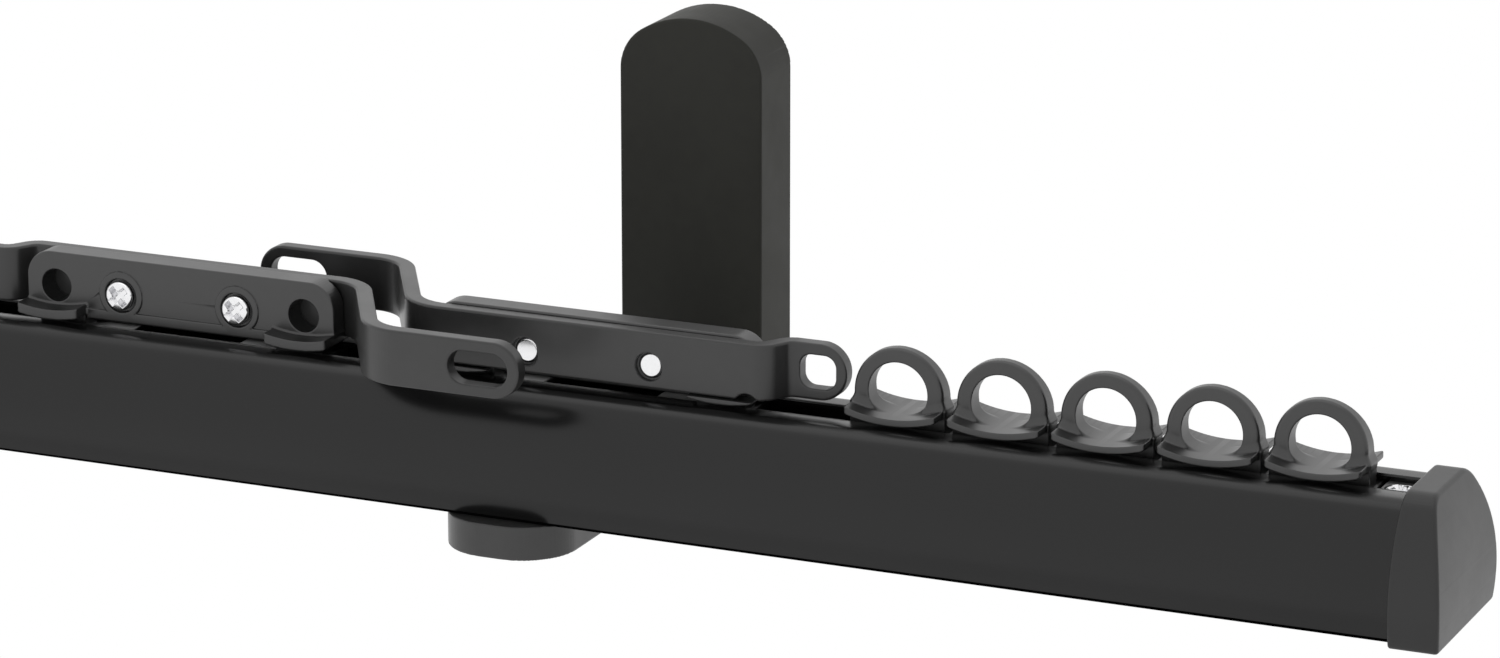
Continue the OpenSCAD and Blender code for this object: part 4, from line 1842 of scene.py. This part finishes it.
@dataclass(frozen=True)
class Studio:
    """Camera, lamp, floor and the soft light around the object.

    The light on matt faces comes from zones of directions. Each zone's pair says where
    its edge begins and ends along an axis of the world.

    Attributes:
        camera_at: Place of the camera.
        azimuth: How far the camera stands to the right.
        elevation: How far it looks down.
        lens: Its focal length, in millimetres.
        sensor: Width of its sensor, in millimetres.
        clip: Nearest and furthest distance that it sees.
        floor_z: Level of the floor.
        floor_r: Radius of the floor.
        floor_sides: Corners of the floor's edge.
        floor_glow: Strength of the floor's own light.
        floor_tones: Darkest and lightest tone of the floor.
        floor_cloud: Scale of the pattern between them.
        lamp_at: Place of the lamp.
        lamp_size: Length and width of the lamp.
        lamp_power: Power of the lamp, in watts.
        bright: Strength of the zone in front.
        sheen: Strength of the zone behind, where 0 is dim and 1 is bright.
        low: Strength of the zone below it, on the same scale.
        dim: Strength everywhere else.
        front_x: Right edge of the zone in front.
        front_y: Its rear edge.
        front_z: Its upper edge.
        back_y: Front edge of the two zones behind.
        behind_x: Right edge of the zone behind.
        behind_low: Its lower edge.
        behind_high: Its upper edge.
        below_z: Upper edge of the zone below it.
    """

    camera_at: Triple = (0.6240, -1.0007, 0.2803)
    azimuth: float = math.radians(23.67)
    elevation: float = math.radians(16.12)
    lens: float = 136.56
    sensor: float = 36.0
    clip: Pair = (0.01, 100.0)
    floor_z: float = -0.5
    floor_r: float = 0.9
    floor_sides: int = 96
    floor_glow: float = 0.6
    floor_tones: Pair = (0.86, 0.90)
    floor_cloud: float = 3.0
    lamp_at: Triple = (0.1, 0.1, 1.5)
    lamp_size: Pair = (1.6, 0.9)
    lamp_power: float = 2.0
    bright: float = 1.0
    sheen: float = 1.25
    low: float = 0.08
    dim: float = 0.10
    front_x: Pair = (0.15, 0.45)
    front_y: Pair = (-0.25, 0.1)
    front_z: Pair = (0.38, 0.58)
    back_y: Pair = (0.0, 0.3)
    behind_x: Pair = (0.25, 0.5)
    behind_low: Pair = (0.02, 0.2)
    behind_high: Pair = (0.35, 0.5)
    below_z: Pair = (-0.3, -0.12)

    def camera(self) -> None:
        """Makes the camera of the photograph."""
        data = bpy.data.cameras.new("camera")
        data.lens, data.sensor_width, data.sensor_fit = self.lens, self.sensor, "HORIZONTAL"
        data.clip_start, data.clip_end = self.clip
        made = link("camera", data)
        a, e = self.azimuth, self.elevation
        back = Vector((math.sin(a) * math.cos(e), -math.cos(a) * math.cos(e), math.sin(e)))
        made.location = self.camera_at
        made.rotation_mode = "QUATERNION"
        made.rotation_quaternion = (-back).to_track_quat("-Z", "Y")
        bpy.context.scene.camera = made

    def world(self) -> None:
        """Makes the surroundings.

        They are white where they are seen or mirrored. As light on matt faces they are
        pale to the front left and behind, and dim elsewhere.
        """
        world = bpy.data.worlds.new("studio")
        nodes = fresh_nodes(world)
        way = nodes.add("ShaderNodeTexCoord").outputs["Generated"]
        parts = nodes.add("ShaderNodeSeparateXYZ", {}, {0: way})
        x, y, z = (nodes.value(part) for part in parts.outputs)
        front = y.fall(*self.front_y) * z.fall(*self.front_z) * x.fall(*self.front_x)
        back = y.step(*self.back_y)
        behind = back * z.step(*self.behind_low) * z.fall(*self.behind_high)
        behind = behind * x.fall(*self.behind_x)
        below = back * z.fall(*self.below_z) * self.low
        light = front.top(behind * self.sheen).top(below) * (self.bright - self.dim) + self.dim
        rays = nodes.add("ShaderNodeLightPath").outputs
        seen = nodes.value(rays["Is Camera Ray"])
        for kind in ("Is Glossy Ray", "Is Transmission Ray"):
            seen = seen.top(nodes.value(rays[kind]))
        white = {"Color": opaque(grey(1.0)), "Strength": seen + (1.0 - seen) * light}
        sky = nodes.add("ShaderNodeBackground", {}, white)
        nodes.add("ShaderNodeOutputWorld", {}, {"Surface": sky.outputs[0]})
        bpy.context.scene.world = world

    def floor(self) -> None:
        """Makes the pale floor, which keeps the object's shadow."""
        shape = bmesh.new()
        bmesh.ops.create_circle(
            shape, cap_ends=True, segments=self.floor_sides, radius=self.floor_r
        )
        mesh = bpy.data.meshes.new("floor")
        shape.to_mesh(mesh)
        shape.free()
        mesh.transform(Matrix.Translation((0, 0, self.floor_z)))
        made = link("floor", mesh)
        paint = bpy.data.materials.new("floor_paint")
        nodes = fresh_nodes(paint)
        where = nodes.add("ShaderNodeTexCoord").outputs["Object"]
        cloud = nodes.add("ShaderNodeTexNoise", {}, {"Vector": where, "Scale": self.floor_cloud})
        dark, light = (opaque(grey(tone)) for tone in self.floor_tones)
        tone = nodes.add(
            "ShaderNodeValToRGB", {"stops": ((0.0, dark), (1.0, light))}, {"Fac": cloud.outputs[0]}
        ).outputs[0]
        matt = nodes.add("ShaderNodeBsdfDiffuse", {}, {"Color": tone})
        glow = nodes.add("ShaderNodeEmission", {}, {"Strength": self.floor_glow})
        both = nodes.add("ShaderNodeAddShader", {}, {0: matt.outputs[0], 1: glow.outputs[0]})
        nodes.add("ShaderNodeOutputMaterial", {}, {"Surface": both.outputs[0]})
        mesh.materials.append(paint)

    def lamp(self) -> None:
        """Makes one large soft lamp overhead."""
        data = bpy.data.lights.new("overhead", "AREA")
        data.shape = "RECTANGLE"
        data.size, data.size_y = self.lamp_size
        data.energy = self.lamp_power
        link("overhead", data).location = self.lamp_at

    def build(self) -> None:
        """Makes the whole studio."""
        self.camera()
        self.world()
        self.floor()
        self.lamp()
        bpy.context.scene.view_settings.view_transform = "Standard"


def keep_nodes(nodes: dict[str, bpy.types.Object], dresser: Dresser) -> None:
    """Gives the CAD nodes that stay their finishes.

    Args:
        nodes: The CAD nodes by name.
        dresser: Finishes them.
    """
    kept = {"end_stop": MOULDED_PLASTIC, "wall_plate": ZINC_PLATING, "clamp_nut": ZINC_PLATING}
    for side in Side:
        for name, finish in kept.items():
            dresser.keep(nodes[f"{name}_{side.word}"], finish)


def main() -> None:
    """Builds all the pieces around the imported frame."""
    logging.basicConfig(level=logging.INFO, format="%(name)s: %(message)s")
    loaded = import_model()
    frame, dresser, workshop = Frame(), Dresser(), Workshop()
    Studio().build()
    track = Track(frame)
    gliders = Gliders(frame, track.section)
    masters = Masters(frame, gliders)
    brackets = Brackets(frame)
    track.rail(workshop, dresser)
    track.caps(dresser)
    gliders.build(dresser)
    masters.build(dresser)
    brackets.build(dresser)
    Fasteners(frame, track, masters, brackets).build(workshop, dresser)
    keep_nodes(loaded["nodes"], dresser)


if __name__ == "__main__":
    main()
